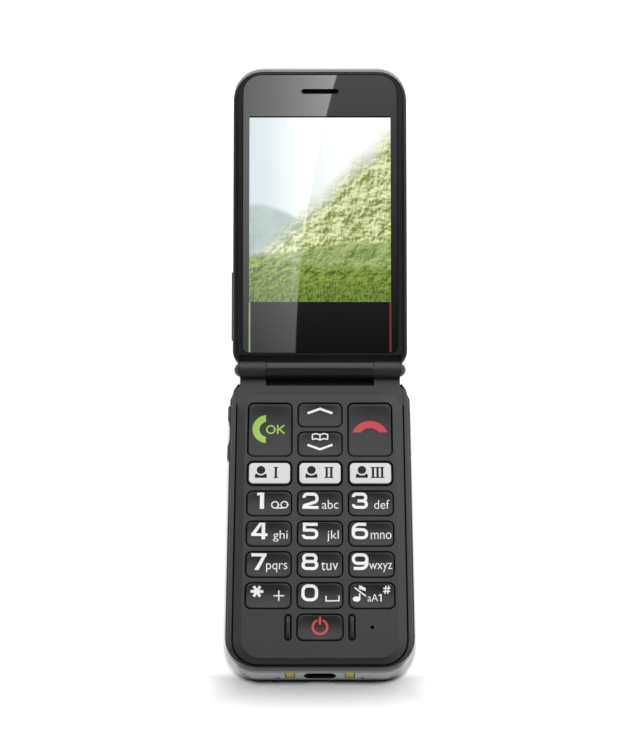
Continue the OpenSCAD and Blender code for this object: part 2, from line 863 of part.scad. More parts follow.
// Film with one snap dome under each key
module dome_sheet() {
    dome_ball_r = (dome_r*dome_r + dome_h*dome_h)/(2*dome_h);
    color("#b9bcc0")
        in_base() {
            layer(board_z, sheet_z) {
                outline(2*col_pitch + key_w, row_start - key_l/2, power_s - row_pitch/2, board_r, board_r);
                outline(key_w, power_s - row_pitch, power_s + key_l/2, board_r, board_r);
            }
            at_keys() {
                dome(dome_ball_r);
                dome(dome_ball_r);
            }
        }
}

module dome(ball_r) {
    intersection() {
        layer(board_z, sheet_z + 2*dome_h)
            circle(dome_r);
        translate([0, 0, sheet_z + dome_h - ball_r])
            sphere(ball_r);
    }
}

module battery() {
    color("#3a4048")
        in_base()
            translate([0, battery_start + battery_l/2, 0])
                layer(cover_t + battery_gap, base_split - battery_gap)
                    pad(battery_w, battery_l, board_r);
}

// Folded metal tray, open towards the battery
module sim_holder() {
    far = battery_start - bay_gap - bay_t - side_gap;
    color("#a9adb1")
        in_base()
            difference() {
                translate([0, far - sim_l/2, 0])
                    layer(base_split - sim_t, base_split)
                        square([sim_w, sim_l], center = true);
                translate([0, far - sim_l/2 + cut, 0])
                    layer(base_split - sim_t/2 - sim_slot_t/2, base_split - sim_t/2 + sim_slot_t/2)
                        square([sim_w - 2*sim_wall, sim_l], center = true);
            }
}

module loudspeaker() {
    color("#26282b")
        in_base()
            translate([speaker_x, speaker_s, 0]) {
                layer(cover_t + battery_gap, base_split - battery_gap)
                    difference() {
                        pad(speaker_w, speaker_l, board_r);
                        pad(speaker_w - 2*speaker_wall, speaker_l - 2*speaker_wall, board_r/2);
                    }
                layer(base_split/2, base_split - battery_gap)
                    pad(speaker_w - speaker_wall, speaker_l - speaker_wall, board_r);
            }
}

// Motor can with its half-round weight
module vibration_motor() {
    color("#9b9ea2")
        in_base()
            translate([motor_side + weight_l - body_w/2, speaker_s, base_split - motor_r - battery_gap]) {
                rod_x(shaft_l, shaft_l + motor_l, motor_r);
                rod_x(-skin, shaft_l + skin, shaft_r);
                intersection() {
                    rod_x(-weight_l, 0, motor_r);
                    translate([-weight_l, -motor_r, -motor_r])
                        cube([weight_l, 2*motor_r, motor_r + shaft_r]);
                }
            }
}

module microphone() {
    color("#b08d3c")
        in_base()
            translate([col_pitch, power_s, 0])
                layer(board_z, board_z + mic_h)
                    circle(d = mic_d);
}

module port_board() {
    color("#1f5a37")
        in_base()
            translate([0, usb_front - usb_back_t - port_board_l/2 - cover_t, 0])
                layer(port_z, port_z + small_board_t)
                    pad(port_board_w, port_board_l, board_r);
}

// Drawn metal shell of the socket, closed at the back
module usb_socket() {
    color("#3c3c3e")
        in_base()
            translate([0, 0, usb_z]) {
                along_s(usb_front - usb_l, usb_front)
                    difference() {
                        slot(usb_w, usb_h);
                        slot(usb_w - 2*usb_t, usb_h - 2*usb_t);
                    }
                along_s(usb_front - usb_l, usb_front - usb_l + usb_back_t)
                    slot(usb_w, usb_h);
            }
}

module usb_tongue() {
    color("#1c1c1c")
        in_base()
            translate([0, 0, usb_z])
                along_s(usb_front - usb_l + usb_back_t, usb_front - tongue_inset)
                    square([tongue_w, tongue_t], center = true);
}

// Plated pads in line with the end wall, on arms with feet up to the port board
module charge_contacts() {
    low = contact_z - contact_h/2;
    high = contact_z + contact_h/2;
    foot = end_wall(contact_z) - contact_l;
    color("#c9a93c")
        in_base()
            for (side = [-1, 1])
                translate([side*contact_x, -contact_inset, 0]) {
                    along_x(-contact_w/2, contact_w/2)
                        polygon([[end_wall(low) - contact_t, low], [end_wall(low), low],
                                 [end_wall(high), high], [end_wall(high) - contact_t, high]]);
                    translate([-contact_w/2, foot, contact_z - contact_t/2])
                        cube([contact_w, contact_l - contact_t/2, contact_t]);
                    translate([-contact_w/2, foot, contact_z])
                        cube([contact_w, foot_l, port_z - contact_z]);
                }
}

module guard_bars() {
    color("#3b3b3b")
        in_base()
            for (side = [-1, 1])
                translate([side*bar_x, power_s, 0])
                    intersection() {
                        layer(base_t - bar_seat, base_t + bar_rise + cut)
                            rotate(90)
                                slot(bar_l, bar_w);
                        along_s(-bar_l, bar_l)
                            translate([0, base_t + bar_rise - bar_crown]) {
                                circle(bar_crown);
                                translate([-bar_crown, -2*bar_crown])
                                    square([2*bar_crown, 2*bar_crown]);
                            }
                    }
}

module hinge_drive_shaft() {
    color("#9ea2a6")
        translate([0, hinge_y, hinge_z]) {
            rod_x(-knuckle_out, -knuckle_in, pin_r);
            rod_x(-knuckle_in - skin, -barrel_w/2 + drive_l, drive_r);
        }
}

module hinge_pivot_bush() {
    color("#9ea2a6")
        translate([0, hinge_y, hinge_z])
            difference() {
                rod_x(barrel_w/2 - pivot_l, knuckle_out, pin_r);
                rod_x(barrel_w/2 - pivot_l - cut, knuckle_out + cut, pin_r - pivot_t);
            }
}

module hinge_end_caps() {
    ball_r = (cap_r*cap_r + cap_h*cap_h)/(2*cap_h);
    color("#333333")
        translate([0, hinge_y, hinge_z])
            for (side = [0, 1])
                mirror([side, 0, 0])
                    intersection() {
                        rod_x(knuckle_out, knuckle_out + cap_h + cut, cap_r);
                        translate([knuckle_out + cap_h - ball_r, 0, 0])
                            sphere(ball_r);
                    }
}

// Shallow bowl that is cut out of a key's top
module finger_dish() {
    rotate_extrude($fn = 96)
        intersection() {
            translate([0, dish_r])
                circle(dish_r, $fn = 720);
            square([tall_key_l, deck_t]);
        }
}

// Key with a dished top, a flange under the deck and a nub for its dome
module key(x, s, l, dish) {
    in_base()
        translate([x, s, 0]) {
            difference() {
                layer(flange_z, key_top)
                    pad(key_w, l, key_r);
                translate([0, 0, key_top - dish])
                    finger_dish();
            }
            layer(flange_z, flange_top)
                pad(key_w + 2*flange_grow, l + 2*flange_grow, key_r + flange_grow);
            layer(nub_z, flange_z + skin)
                circle(nub_r);
        }
}

module ok_key() {
    color("#454545")
        key(column_x(0), tall_key_s, tall_key_l, key_dish);
}

module up_key() {
    color("#454545")
        key(column_x(1), row_s(0), key_l, key_dish);
}

module down_key() {
    color("#454545")
        key(column_x(1), row_s(1), key_l, key_dish);
}

module end_key() {
    color("#454545")
        key(column_x(2), tall_key_s, tall_key_l, key_dish);
}

module power_key() {
    color("#454545")
        key(column_x(1), power_s, key_l, key_dish);
}

// Dark key frame with a pocket for its label plate
module contact_key(column) {
    color("#2c2c2c")
        difference() {
            key(column_x(column), row_s(contact_row), key_l, 0);
            in_base()
                translate([column_x(column), row_s(contact_row), 0])
                    layer(key_top - label_t, key_top + cut)
                        pad(label_w + 2*label_clear, label_l + 2*label_clear, label_r + label_clear);
        }
}

module contact_label(column) {
    color("#e5e5e5")
        in_base()
            translate([column_x(column), row_s(contact_row), 0])
                layer(key_top - label_t, key_top)
                    pad(label_w, label_l, label_r);
}

module number_key(index) {
    color("#454545")
        key(column_x(index%key_columns), row_s(number_row + floor(index/key_columns)), key_l, key_dish);
}

// Rocker that pivots behind the frame's wall, with a dip between its two ends
module volume_rocker() {
    face = body_w/2 + rocker_rise;
    color("#3a3a3a")
        in_base()
            translate([0, rocker_s, rocker_z]) {
                layer(-rocker_h/2, rocker_h/2)
                    difference() {
                        translate([-(face + rocker_x)/2, 0])
                            pad(face - rocker_x, rocker_l, rocker_h/2);
                        translate([-face - rocker_dip_r + rocker_dip, 0])
                            circle(rocker_dip_r);
                    }
                translate([-rocker_x, 0, 0]) {
                    cube([side_flange_t, side_flange_l(rocker_l), rocker_h], center = true);
                    layer(-rocker_h/2, rocker_h/2)
                        circle(bead_r);
                }
            }
}

module lid_front_case() {
    color("#2f2f2f")
        in_lid()
            difference() {
                union() {
                    difference() {
                        union() {
                            case_blank(lid_mid, lid_in, lid_corner_r);
                            nesting_lip(lid_mid - lip_h, lid_mid + skin, lid_corner_r);
                        }
                        hinge_notch();
                        lens_pocket();
                        bezel_channel();
                        layer(lid_mid - lip_h - cut, ledge_z)
                            outline(body_w - 2*lid_wall, bezel_start + lid_wall, half_len - lid_wall,
                                    lens_hinge_r, corner_r - lid_wall);
                        side_key_slot();
                    }
                    centre_barrel();
                }
                rod_x(-barrel_w/2 - cut, barrel_w/2 - pivot_l, cartridge_r + hinge_fit);
                rod_x(-skin, barrel_w/2 + cut, pin_r + hinge_fit);
            }
}

// Space for the barrel, both knuckles and their caps at the hinge end
module hinge_notch() {
    rod_x(-body_w/2 - cut, body_w/2 + cut, cap_r + cap_gap);
    along_x(-trough_half, trough_half)
        translate([hinge_inset - cut, -trough_r])
            square([bezel_start - hinge_inset + cut, trough_r + cut]);
}

// Seat of the lens, with its openings for the display and the earpiece
module lens_pocket() {
    layer(lens_seat, cut)
        outline(lens_w + 2*lens_gap, lens_start - lens_gap, lens_far + lens_gap,
                lens_hinge_r + lens_gap, lens_r + lens_gap);
    layer(ledge_z - cut, lens_seat + cut)
        outline(display_w + 2*display_border + 2*display_gap,
                display_start - display_tail - display_gap,
                display_end + display_border + display_gap, display_gap, display_gap);
    translate([0, ear_s, 0]) {
        layer(ledge_z - cut, lens_seat + cut)
            slot(ear_w, ear_h);
        layer(lens_seat - mesh_t, lens_seat + cut)
            slot(ear_w + 2*mesh_edge + 2*lens_gap, ear_h + 2*mesh_edge + 2*lens_gap);
    }
}

// Fine groove that sets the bezel off from the case's edge
module bezel_channel() {
    layer(lid_in - bezel_depth, cut)
        difference() {
            bezel_outline(0);
            bezel_outline(bezel_groove);
        }
}

module bezel_outline(inset) {
    margin = bezel_margin + inset;
    outline(body_w - 2*margin, hinge_inset + margin, half_len - bezel_end - inset, lid_corner_r - margin,
            corner_r - margin);
}

module side_key_slot() {
    translate([-body_w/2, side_key_s, side_key_z])
        cube([2*lid_wall + 2*cut, side_key_l + 2*side_gap, side_key_h + 2*side_gap], center = true);
}

// Barrel between the knuckles, on a neck out of the trough
module centre_barrel() {
    rod_x(-barrel_w/2, barrel_w/2, barrel_r);
    along_x(-barrel_w/2, barrel_w/2)
        translate([0, -trough_r - skin])
            square([bezel_start + skin, neck_h]);
    along_x(-barrel_w/2, barrel_w/2)
        translate([0, -trough_r - skin])
            square([barrel_r/2, trough_r]);
}

module lid_outer_cover() {
    color("#c4c6c8")
        in_lid()
            translate([0, 0, lid_out])
                difference() {
                    cover_shell(lid_t - lid_split, 0, outer_end, edge_w, 0, lid_corner_r);
                    layer(-cut, window_t + window_gap)
                        outline(window_w + 2*window_gap, window_start - window_gap,
                                window_start + window_l + window_gap, window_r, window_r);
                    layer(-cut, cover_t + cut) {
                        translate([0, outer_middle()])
                            square([outer_w, outer_l], center = true);
                        translate([0, camera_middle()])
                            circle(camera_r + camera_gap);
                    }
                }
}

// Places of the small picture and the camera behind the outer window
function outer_middle() = window_start + window_l/2 - camera_step/2;
function camera_middle() = outer_middle() + outer_l/2 + camera_step;

module outer_window() {
    color("#151617")
        in_lid()
            translate([0, 0, lid_out])
                layer(window_gap, window_t + window_gap)
                    outline(window_w, window_start, window_start + window_l, window_r, window_r);
}

module outer_display() {
    color("#1a1c20")
        in_lid()
            translate([0, outer_middle(), lid_out + cover_t])
                layer(0, outer_t)
                    square([outer_w + 2*outer_border, outer_l + 2*outer_border], center = true);
}

// Camera body with its barrel up to the window
module camera_module() {
    color("#202226")
        in_lid()
            translate([0, camera_middle(), lid_out]) {
                layer(cover_t, cover_t + camera_t)
                    pad(camera_w, camera_w, camera_gap);
                layer(window_t + 2*window_gap, cover_t + skin)
                    circle(camera_r);
            }
}

module display_lens() {
    color("#1a1a1a")
        in_lid()
            layer(lens_seat, lens_top)
                difference() {
                    outline(lens_w, lens_start, lens_far, lens_hinge_r, lens_r);
                    translate([0, ear_s])
                        slot(ear_w, ear_h);
                }
}

module display_module() {
    color("#7d9a8a")
        in_lid()
            layer(display_back, display_z)
                outline(display_w + 2*display_border, display_start - display_tail,
                        display_end + display_border, display_gap, display_gap);
}

module earpiece_mesh() {
    color("#202020")
        in_lid()
            translate([0, ear_s, 0])
                layer(lens_seat - mesh_t, lens_seat)
                    slot(ear_w + 2*mesh_edge, ear_h + 2*mesh_edge);
}

module earpiece_speaker() {
    color("#6d7074")
        in_lid()
            translate([0, ear_s, 0])
                layer(ledge_z - receiver_t, ledge_z)
                    pad(receiver_w, receiver_l, board_r);
}

module lid_board() {
    color("#1f5a37")
        in_lid()
            translate([0, (display_start + display_end)/2, 0])
                layer(display_back - small_board_t, display_back)
                    pad(display_w - 2*lid_board_inset, display_end - display_start - 2*lid_board_inset, board_r);
}

module closing_magnet() {
    color("#8f9296")
        in_lid()
            translate([magnet_side - body_w/2, ear_s, 0])
                layer(ledge_z - magnet_t, ledge_z)
                    square([magnet_w, magnet_l], center = true);
}

// Detent unit in the barrel, bored for the drive shaft
module hinge_cartridge() {
    color("#85898d")
        in_lid()
            difference() {
                rod_x(-barrel_w/2, -barrel_w/2 + cartridge_l, cartridge_r);
                rod_x(-barrel_w/2 - cut, -barrel_w/2 + drive_l + knuckle_gap, drive_r + hinge_fit);
            }
}

// Flexible circuit rolled up inside the barrel
module hinge_flex() {
    color("#b8742c")
        in_lid()
            difference() {
                rod_x(-barrel_w/2 + cartridge_l + knuckle_gap, barrel_w/2 - pivot_l - knuckle_gap, cartridge_r);
                rod_x(-barrel_w/2, barrel_w/2, cartridge_r - flex_t);
            }
}

module lid_side_key() {
    inner = body_w/2 - lid_wall - side_gap - side_flange_t;
    color("#3a3a3a")
        in_lid()
            translate([0, side_key_s, side_key_z]) {
                translate([-(body_w/2 + side_key_rise), -side_key_l/2, -side_key_h/2])
                    cube([body_w/2 + side_key_rise - inner, side_key_l, side_key_h]);
                translate([-inner - side_flange_t/2, 0, 0])
                    cube([side_flange_t, side_flange_l(side_key_l), side_key_h], center = true);
            }
}

base_front_case();
base_frame();
base_rear_cover();
case_screws();
main_board();
dome_sheet();
battery();
sim_holder();
loudspeaker();
vibration_motor();
microphone();
port_board();
usb_socket();
usb_tongue();
charge_contacts();
guard_bars();
hinge_drive_shaft();
hinge_pivot_bush();
hinge_end_caps();
ok_key();
up_key();
down_key();
end_key();
power_key();
for (i = [0:2]) {
    contact_key(i);
    contact_label(i);
}
for (i = [0:11])
    number_key(i);
volume_rocker();
lid_front_case();
lid_outer_cover();
display_lens();
display_module();
earpiece_mesh();
earpiece_speaker();
lid_board();
closing_magnet();
outer_window();
outer_display();
camera_module();
hinge_cartridge();
hinge_flex();
lid_side_key();
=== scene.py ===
import json
import math

import bpy
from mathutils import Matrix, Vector
from mathutils.geometry import delaunay_2d_cdt


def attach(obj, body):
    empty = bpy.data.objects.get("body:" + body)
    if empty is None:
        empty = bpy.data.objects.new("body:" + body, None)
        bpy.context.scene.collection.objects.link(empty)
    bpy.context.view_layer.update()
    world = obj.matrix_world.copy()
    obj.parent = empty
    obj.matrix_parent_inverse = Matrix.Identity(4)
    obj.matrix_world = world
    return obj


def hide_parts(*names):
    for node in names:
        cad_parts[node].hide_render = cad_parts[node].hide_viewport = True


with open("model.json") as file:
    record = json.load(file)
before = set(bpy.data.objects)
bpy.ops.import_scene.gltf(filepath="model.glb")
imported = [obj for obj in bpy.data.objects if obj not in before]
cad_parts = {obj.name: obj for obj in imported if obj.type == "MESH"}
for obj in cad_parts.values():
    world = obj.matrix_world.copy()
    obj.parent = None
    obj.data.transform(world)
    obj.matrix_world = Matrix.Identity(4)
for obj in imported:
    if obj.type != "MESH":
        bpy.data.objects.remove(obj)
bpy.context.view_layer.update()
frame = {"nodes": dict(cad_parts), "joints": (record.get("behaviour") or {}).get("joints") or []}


# Rear cover of the keypad half: a tray moulded in ABS and sprayed with silver lacquer.
# It lies on the table on its flat bottom, its rim holds the frame, and its sides draw in towards the foot.
def linear(code):
    """An sRGB hex colour as linear RGBA."""
    parts = [int(code[i:i + 2], 16)/255 for i in (1, 3, 5)]
    return [c/12.92 if c <= 0.04045 else ((c + 0.055)/1.055)**2.4 for c in parts] + [1]


def add(tree, kind, values=(), links=(), into=None):
    """One node with its settings by socket or property, the nodes or sockets behind it, and what it feeds."""
    node = tree.nodes.new(kind)
    for key, value in dict(values).items():
        if key == "ramp":
            for stop, (position, code) in zip(node.color_ramp.elements, value):
                stop.position = position
                stop.color = linear(code)
        elif isinstance(key, int) or key in node.inputs:
            node.inputs[key].default_value = value
        else:
            setattr(node, key, value)
    for key, source in dict(links).items():
        tree.links.new(source.outputs[0] if hasattr(source, "outputs") else source, node.inputs[key])
    if into is not None:
        tree.links.new(node.outputs[0], into)
    return node


def material(name, sockets):
    """A Principled material with its even values on the shader's own sockets."""
    made = bpy.data.materials.new(name)
    made.use_nodes = True
    shader = made.node_tree.nodes["Principled BSDF"]
    for socket, value in sockets.items():
        shader.inputs[socket].default_value = value
    return made, made.node_tree, shader


def mottle(tree, shader, size, detail, dark, light, ends=(0, 1)):
    """A base colour that drifts between two shades over spots of a size in mm, and what it drifts by."""
    place = add(tree, "ShaderNodeTexCoord").outputs["Object"]
    drift = add(tree, "ShaderNodeTexNoise", {"Scale": 1000/size, "Detail": detail}, {"Vector": place})
    shades = zip(ends, (dark, light))
    add(tree, "ShaderNodeValToRGB", {"ramp": shades}, {"Fac": drift}, shader.inputs["Base Color"])
    return drift


# Even shading for a solid's mesh: points joined, faces smooth, and a crisp line where an edge turns far.
JOIN = 0.001
even = bpy.data.node_groups.new("even_shading", "GeometryNodeTree")
even.interface.new_socket("Geometry", in_out="INPUT", socket_type="NodeSocketGeometry")
limit = even.interface.new_socket("Sharp above", in_out="INPUT", socket_type="NodeSocketFloat").identifier
even.interface.new_socket("Geometry", in_out="OUTPUT", socket_type="NodeSocketGeometry")
entry = add(even, "NodeGroupInput")
joined = add(even, "GeometryNodeMergeByDistance", {"Distance": JOIN/1000}, {"Geometry": entry})
faces = add(even, "GeometryNodeSetShadeSmooth", {"domain": "FACE"}, {0: joined})
turn = add(even, "GeometryNodeInputMeshEdgeAngle")
round_edge = add(even, "FunctionNodeCompare", {"operation": "LESS_EQUAL"},
                 {0: turn, 1: entry.outputs[1]})
edges = add(even, "GeometryNodeSetShadeSmooth", {"domain": "EDGE"},
            {0: faces, "Shade Smooth": round_edge})
add(even, "NodeGroupOutput", (), {0: edges})
FLAT_TURN, EDGE_TURN, EDGE_STEPS, FACE_WEIGHT = 0.4, 26, 3, 80


def dress(piece, finish, edge=0.0, sharp=180):
    """A piece, or the node of that name, with its finish and its edges broken by a radius in mm.

    Edges that turn by more than the sharp angle, in degrees, keep a crisp line.
    """
    piece = frame["nodes"][piece] if isinstance(piece, str) else piece
    piece.data.materials.clear()
    piece.data.materials.append(finish)
    smooth = piece.modifiers.new("even_shading", "NODES")
    smooth.node_group = even
    smooth[limit] = math.radians(sharp)
    if edge:
        flat = piece.modifiers.new("flat_faces", "DECIMATE")
        flat.decimate_type = "DISSOLVE"
        flat.angle_limit = math.radians(FLAT_TURN)
        broken = piece.modifiers.new("broken_edges", "BEVEL")
        broken.limit_method = "ANGLE"
        broken.angle_limit = math.radians(EDGE_TURN)
        broken.width = edge/1000
        broken.segments = EDGE_STEPS
    shading = piece.modifiers.new("shading", "WEIGHTED_NORMAL")
    shading.weight = FACE_WEIGHT
    shading.keep_sharp = True
    return piece


def reshaped(name, node, move):
    """A piece of the keypad half that stands for a node: the node's mesh, with each point moved by a rule."""
    mesh = frame["nodes"][node].data.copy()
    mesh.name = name
    for point in mesh.vertices:
        point.co = Vector(move(*(point.co*1000)))/1000
    piece = bpy.data.objects.new(name, mesh)
    bpy.context.scene.collection.objects.link(piece)
    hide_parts(node)
    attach(piece, "base")
    return piece


# Silver lacquer over ABS: aluminium flakes under a clear satin coat, with a soft shine and a little sparkle.
# Real flakes are 0.02 mm; they are drawn at 0.25 mm so that they show.
FLAKE = 0.25
silver, tree, shader = material("silver_lacquered_abs", {
    "Metallic": 0.65, "Roughness": 0.3, "IOR": 1.5, "Coat Weight": 0.15, "Coat Roughness": 0.25})
mottle(tree, shader, size=FLAKE, detail=2, dark="#a1a2a4", light="#b4b5b7", ends=(0.35, 0.65))

SPLIT_Z, FOOT_PULL, PULL_START, PULL_FULL = 6.2, 0.95, 16, 24


def drawn_in(x, y, z):
    """The cover's sides drawn in from its top edge towards its foot."""
    share = min(1, max(0, (abs(x) - PULL_START)/(PULL_FULL - PULL_START)))
    pull = FOOT_PULL*(1 - z/SPLIT_Z)*share*share*(3 - 2*share)
    return x - math.copysign(pull, x), y, z


dress(reshaped("rear_shell", "base_rear_cover", drawn_in), silver, edge=0.12)


# Mid frame of the keypad half: black ABS with a satin mould finish, and a lip that nests in the rear cover.
# Its rim is the widest line of this half, and the rounded top of it shows as a dark border round the deck.
GRAIN = 0.2


def grained(tree, shader, strength, depth):
    """The grain of a mould as bumps of a depth in mm. Real grain is 0.05 mm; it is drawn at GRAIN to show."""
    place = add(tree, "ShaderNodeTexCoord").outputs["Object"]
    grain = add(tree, "ShaderNodeTexNoise", {"Scale": 1000/GRAIN, "Detail": 2}, {"Vector": place})
    bumps = {"Strength": strength, "Distance": depth/1000}
    add(tree, "ShaderNodeBump", bumps, {"Height": grain}, shader.inputs["Normal"])
    return grain


# Satin moulded ABS: near black, with a soft even sheen and clear light lines along its edges.
satin, tree, shader = material("satin_moulded_abs", {"IOR": 1.5, "Roughness": 0.27})
mottle(tree, shader, size=5.56, detail=3, dark="#161617", light="#1b1b1c")
grained(tree, shader, strength=0.12, depth=0.03)

hinge = next(j for j in frame["joints"] if j["name"] == "lid_hinge")
HINGE_Y, HINGE_Z = [c*1000 for c in hinge["pos_m"][1:]]
HALF_W, FREE_END, CORNER_R = 26.75, 92.7, 9
# Distances of the rim's profile from the middle: as the node has them, and as they are spread.
RIM_FROM, RIM_TO = (25.6, 25.85, 26.3, 26.63, HALF_W), (25.6, 25.7, 26.05, 26.72, 27.3)


def flared(x, y, z):
    """The rim spread outwards along the sides, and less and less round the corners of the free end."""
    out = abs(x) - HALF_W + CORNER_R
    past = max(0, HINGE_Y - y - FREE_END + CORNER_R)
    reach = math.hypot(out, past)
    at = reach + HALF_W - CORNER_R
    if out <= 0 or at <= RIM_FROM[0]:
        return x, y, z
    k = min(sum(at > ring for ring in RIM_FROM), len(RIM_FROM) - 1)
    share = (at - RIM_FROM[k - 1])/(RIM_FROM[k] - RIM_FROM[k - 1])
    grow = (RIM_TO[k - 1] + (RIM_TO[k] - RIM_TO[k - 1])*share - at)*(out/reach)**2
    return x + math.copysign(grow*out/reach, x), y - grow*past/reach, z


dress(reshaped("mid_frame", "base_frame", flared), satin, edge=0.2)


# What the phone holds: boards, battery, speakers, motor, microphone, card holder, magnet and hinge works.
# They lie on the floors of the two halves or in the hinge barrel, and the covers hide them.
# A solder mask is clear green lacquer over copper tracks: glossy, with paler lines, drawn in rows of 0.96 mm.
TRACK_ROW, BRICK_ROW = 0.96, 0.25
mask, tree, shader = material("green_solder_mask", {"Roughness": 0.35, "IOR": 1.55})
place = add(tree, "ShaderNodeTexCoord")
add(tree, "ShaderNodeTexBrick", {
    "Color1": linear("#1f5a37"), "Color2": linear("#1b4f31"), "Mortar": linear("#2c7448"),
    "Scale": 1000*BRICK_ROW/TRACK_ROW, "Mortar Size": 0.03, "Row Height": BRICK_ROW},
    {"Vector": place.outputs["Object"]}, shader.inputs["Base Color"])
for name in ("main_board", "port_board", "lid_board"):
    dress(name, mask)

# A shrink film sleeve is thin grey plastic drawn tight by heat: smooth, with faint wrinkles.
sleeve, tree, shader = material("shrink_film_sleeve", {"Roughness": 0.28, "IOR": 1.5})
mottle(tree, shader, size=3.33, detail=4, dark="#343a42", light="#444b55")
dress("battery", sleeve, edge=0.3)


def dulled(tree, shader, pattern, low, high):
    """A surface whose roughness follows a pattern from a low value to a high one."""
    add(tree, "ShaderNodeMapRange", {"To Min": low, "To Max": high}, {"Value": pattern},
        shader.inputs["Roughness"])


# Drawn stainless steel: grey and bright, with fine lines along the draw, shown as 0.17 mm wide.
LINE_LONG, LINE_W = 1.67, 0.167
steel, tree, shader = material("drawn_stainless_steel", {"Metallic": 1.0})
place = add(tree, "ShaderNodeTexCoord")
stretch = add(tree, "ShaderNodeMapping", {"Scale": (1000/LINE_LONG, 1000/LINE_W, 1000/LINE_W)},
              {"Vector": place.outputs["Object"]})
lines = add(tree, "ShaderNodeTexNoise", {"Scale": 1.0, "Detail": 3}, {"Vector": stretch})
add(tree, "ShaderNodeValToRGB", {"ramp": ((0, "#8d9094"), (1, "#b4b7ba"))}, {"Fac": lines},
    shader.inputs["Base Color"])
dulled(tree, shader, lines, low=0.25, high=0.42)
for name in ("case_screws", "dome_sheet", "sim_holder", "vibration_motor", "earpiece_speaker",
             "closing_magnet", "hinge_drive_shaft", "hinge_pivot_bush", "hinge_cartridge"):
    dress(name, steel)

# Black moulded resin: the filled plastic of small electric parts, dull and slightly speckled.
resin, tree, shader = material("black_moulded_resin", {"IOR": 1.5})
speckle = mottle(tree, shader, size=0.333, detail=2, dark="#101011", light="#1d1d1e")
dulled(tree, shader, speckle, low=0.45, high=0.6)
for name in ("loudspeaker", "microphone", "usb_tongue", "camera_module", "outer_display"):
    dress(name, resin)

# Polyimide flex film: amber and glossy, with the copper tracks inside it as darker bands 0.35 mm apart.
# A wave pattern of scale 1 has its bands a twentieth of a full turn apart.
TRACK_PITCH = 0.35
film, tree, shader = material("polyimide_flex_film", {"Roughness": 0.3, "IOR": 1.7})
place = add(tree, "ShaderNodeTexCoord")
bands = add(tree, "ShaderNodeTexWave", {"Scale": 1000*math.tau/20/TRACK_PITCH, "bands_direction": "X"},
            {"Vector": place.outputs["Object"]})
add(tree, "ShaderNodeValToRGB", {"ramp": ((0, "#8f5a20"), (1, "#b8742c"))}, {"Fac": bands},
    shader.inputs["Base Color"])
dress("hinge_flex", film)


# Bottom end: the USB socket's drawn shell with its tongue, and two gold-plated pads for a charging cradle.
# They sit in openings of the rear cover's end wall, and a black rubber lining in the socket's mouth paints
# the shade inside it.
# Black nickel over steel: dark metal, rubbed a little brighter in spots of 0.7 mm.
nickel, tree, shader = material("black_nickel_plated_steel", {"Metallic": 1.0})
worn = mottle(tree, shader, size=0.667, detail=3, dark="#161617", light="#29292b")
dulled(tree, shader, worn, low=0.3, high=0.45)
dress("usb_socket", nickel, edge=0.04)

# Gold over brass: a greenish yellow metal, with a soft sheen where plugs have rubbed it.
gold, tree, shader = material("gold_plated_brass", {"Metallic": 1.0})
rubbed = mottle(tree, shader, size=0.4545, detail=3, dark="#a3962c", light="#c9ba48")
dulled(tree, shader, rubbed, low=0.3, high=0.45)
dress("charge_contacts", gold, edge=0.28)


def piece_of(name, points, polygons, finish):
    """A smooth mesh piece from points in mm."""
    mesh = bpy.data.meshes.new(name)
    mesh.from_pydata([[c/1000 for c in p] for p in points], [], polygons)
    mesh.materials.append(finish)
    mesh.shade_smooth()
    piece = bpy.data.objects.new(name, mesh)
    bpy.context.scene.collection.objects.link(piece)
    return piece


def trim(name, lines, finish, body, closed=True):
    """A strip with four corner lines, closed to a loop or capped at its ends, that rides on a body."""
    count = len(lines[0])
    quads = []
    for i in range(4):
        a, b = i*count, (i + 1) % 4*count
        quads += [(a + j, b + j, b + (j + 1) % count, a + (j + 1) % count)
                  for j in range(count if closed else count - 1)]
    if not closed:
        quads += [(0, 3*count, 2*count, count), (count - 1, 2*count - 1, 3*count - 1, 4*count - 1)]
    strip = piece_of(name, [p for line in lines for p in line], quads, finish)
    strip.data.shade_flat()
    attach(strip, body)


def ring(width, length, radius, per_corner=7, per_side=6):
    """Points round a rounded rectangle about the origin, counterclockwise."""
    corners = [(1, 1), (-1, 1), (-1, -1), (1, -1)]
    points = []
    for i, (cx, cy) in enumerate(corners):
        for j in range(per_corner + 1):
            turn = math.pi/2*(i + j/per_corner)
            points.append((cx*(width/2 - radius) + radius*math.cos(turn),
                           cy*(length/2 - radius) + radius*math.sin(turn)))
        turn = math.pi/2*(i + 1)
        nx, ny = corners[(i + 1) % 4]
        x, y = points[-1]
        end_x = nx*(width/2 - radius) + radius*math.cos(turn)
        end_y = ny*(length/2 - radius) + radius*math.sin(turn)
        for j in range(1, per_side):
            points.append((x + (end_x - x)*j/per_side, y + (end_y - y)*j/per_side))
    return points


def span(points):
    """The lowest and the highest corner of the box round some points."""
    return [Vector([pick(p[i] for p in points) for i in range(3)]) for pick in (min, max)]


# Silicone rubber: dead black and matt, with hardly any highlight. Besides the contact keys' frames, it makes
# the dark pieces that paint shade in the USB mouth, the deck's groove and round the guard bars.
rubber, tree, shader = material("black_silicone_rubber", {
    "Roughness": 0.75, "IOR": 1.41, "Specular IOR Level": 0.25})
mottle(tree, shader, size=0.4, detail=2, dark="#080808", light="#0d0d0d")

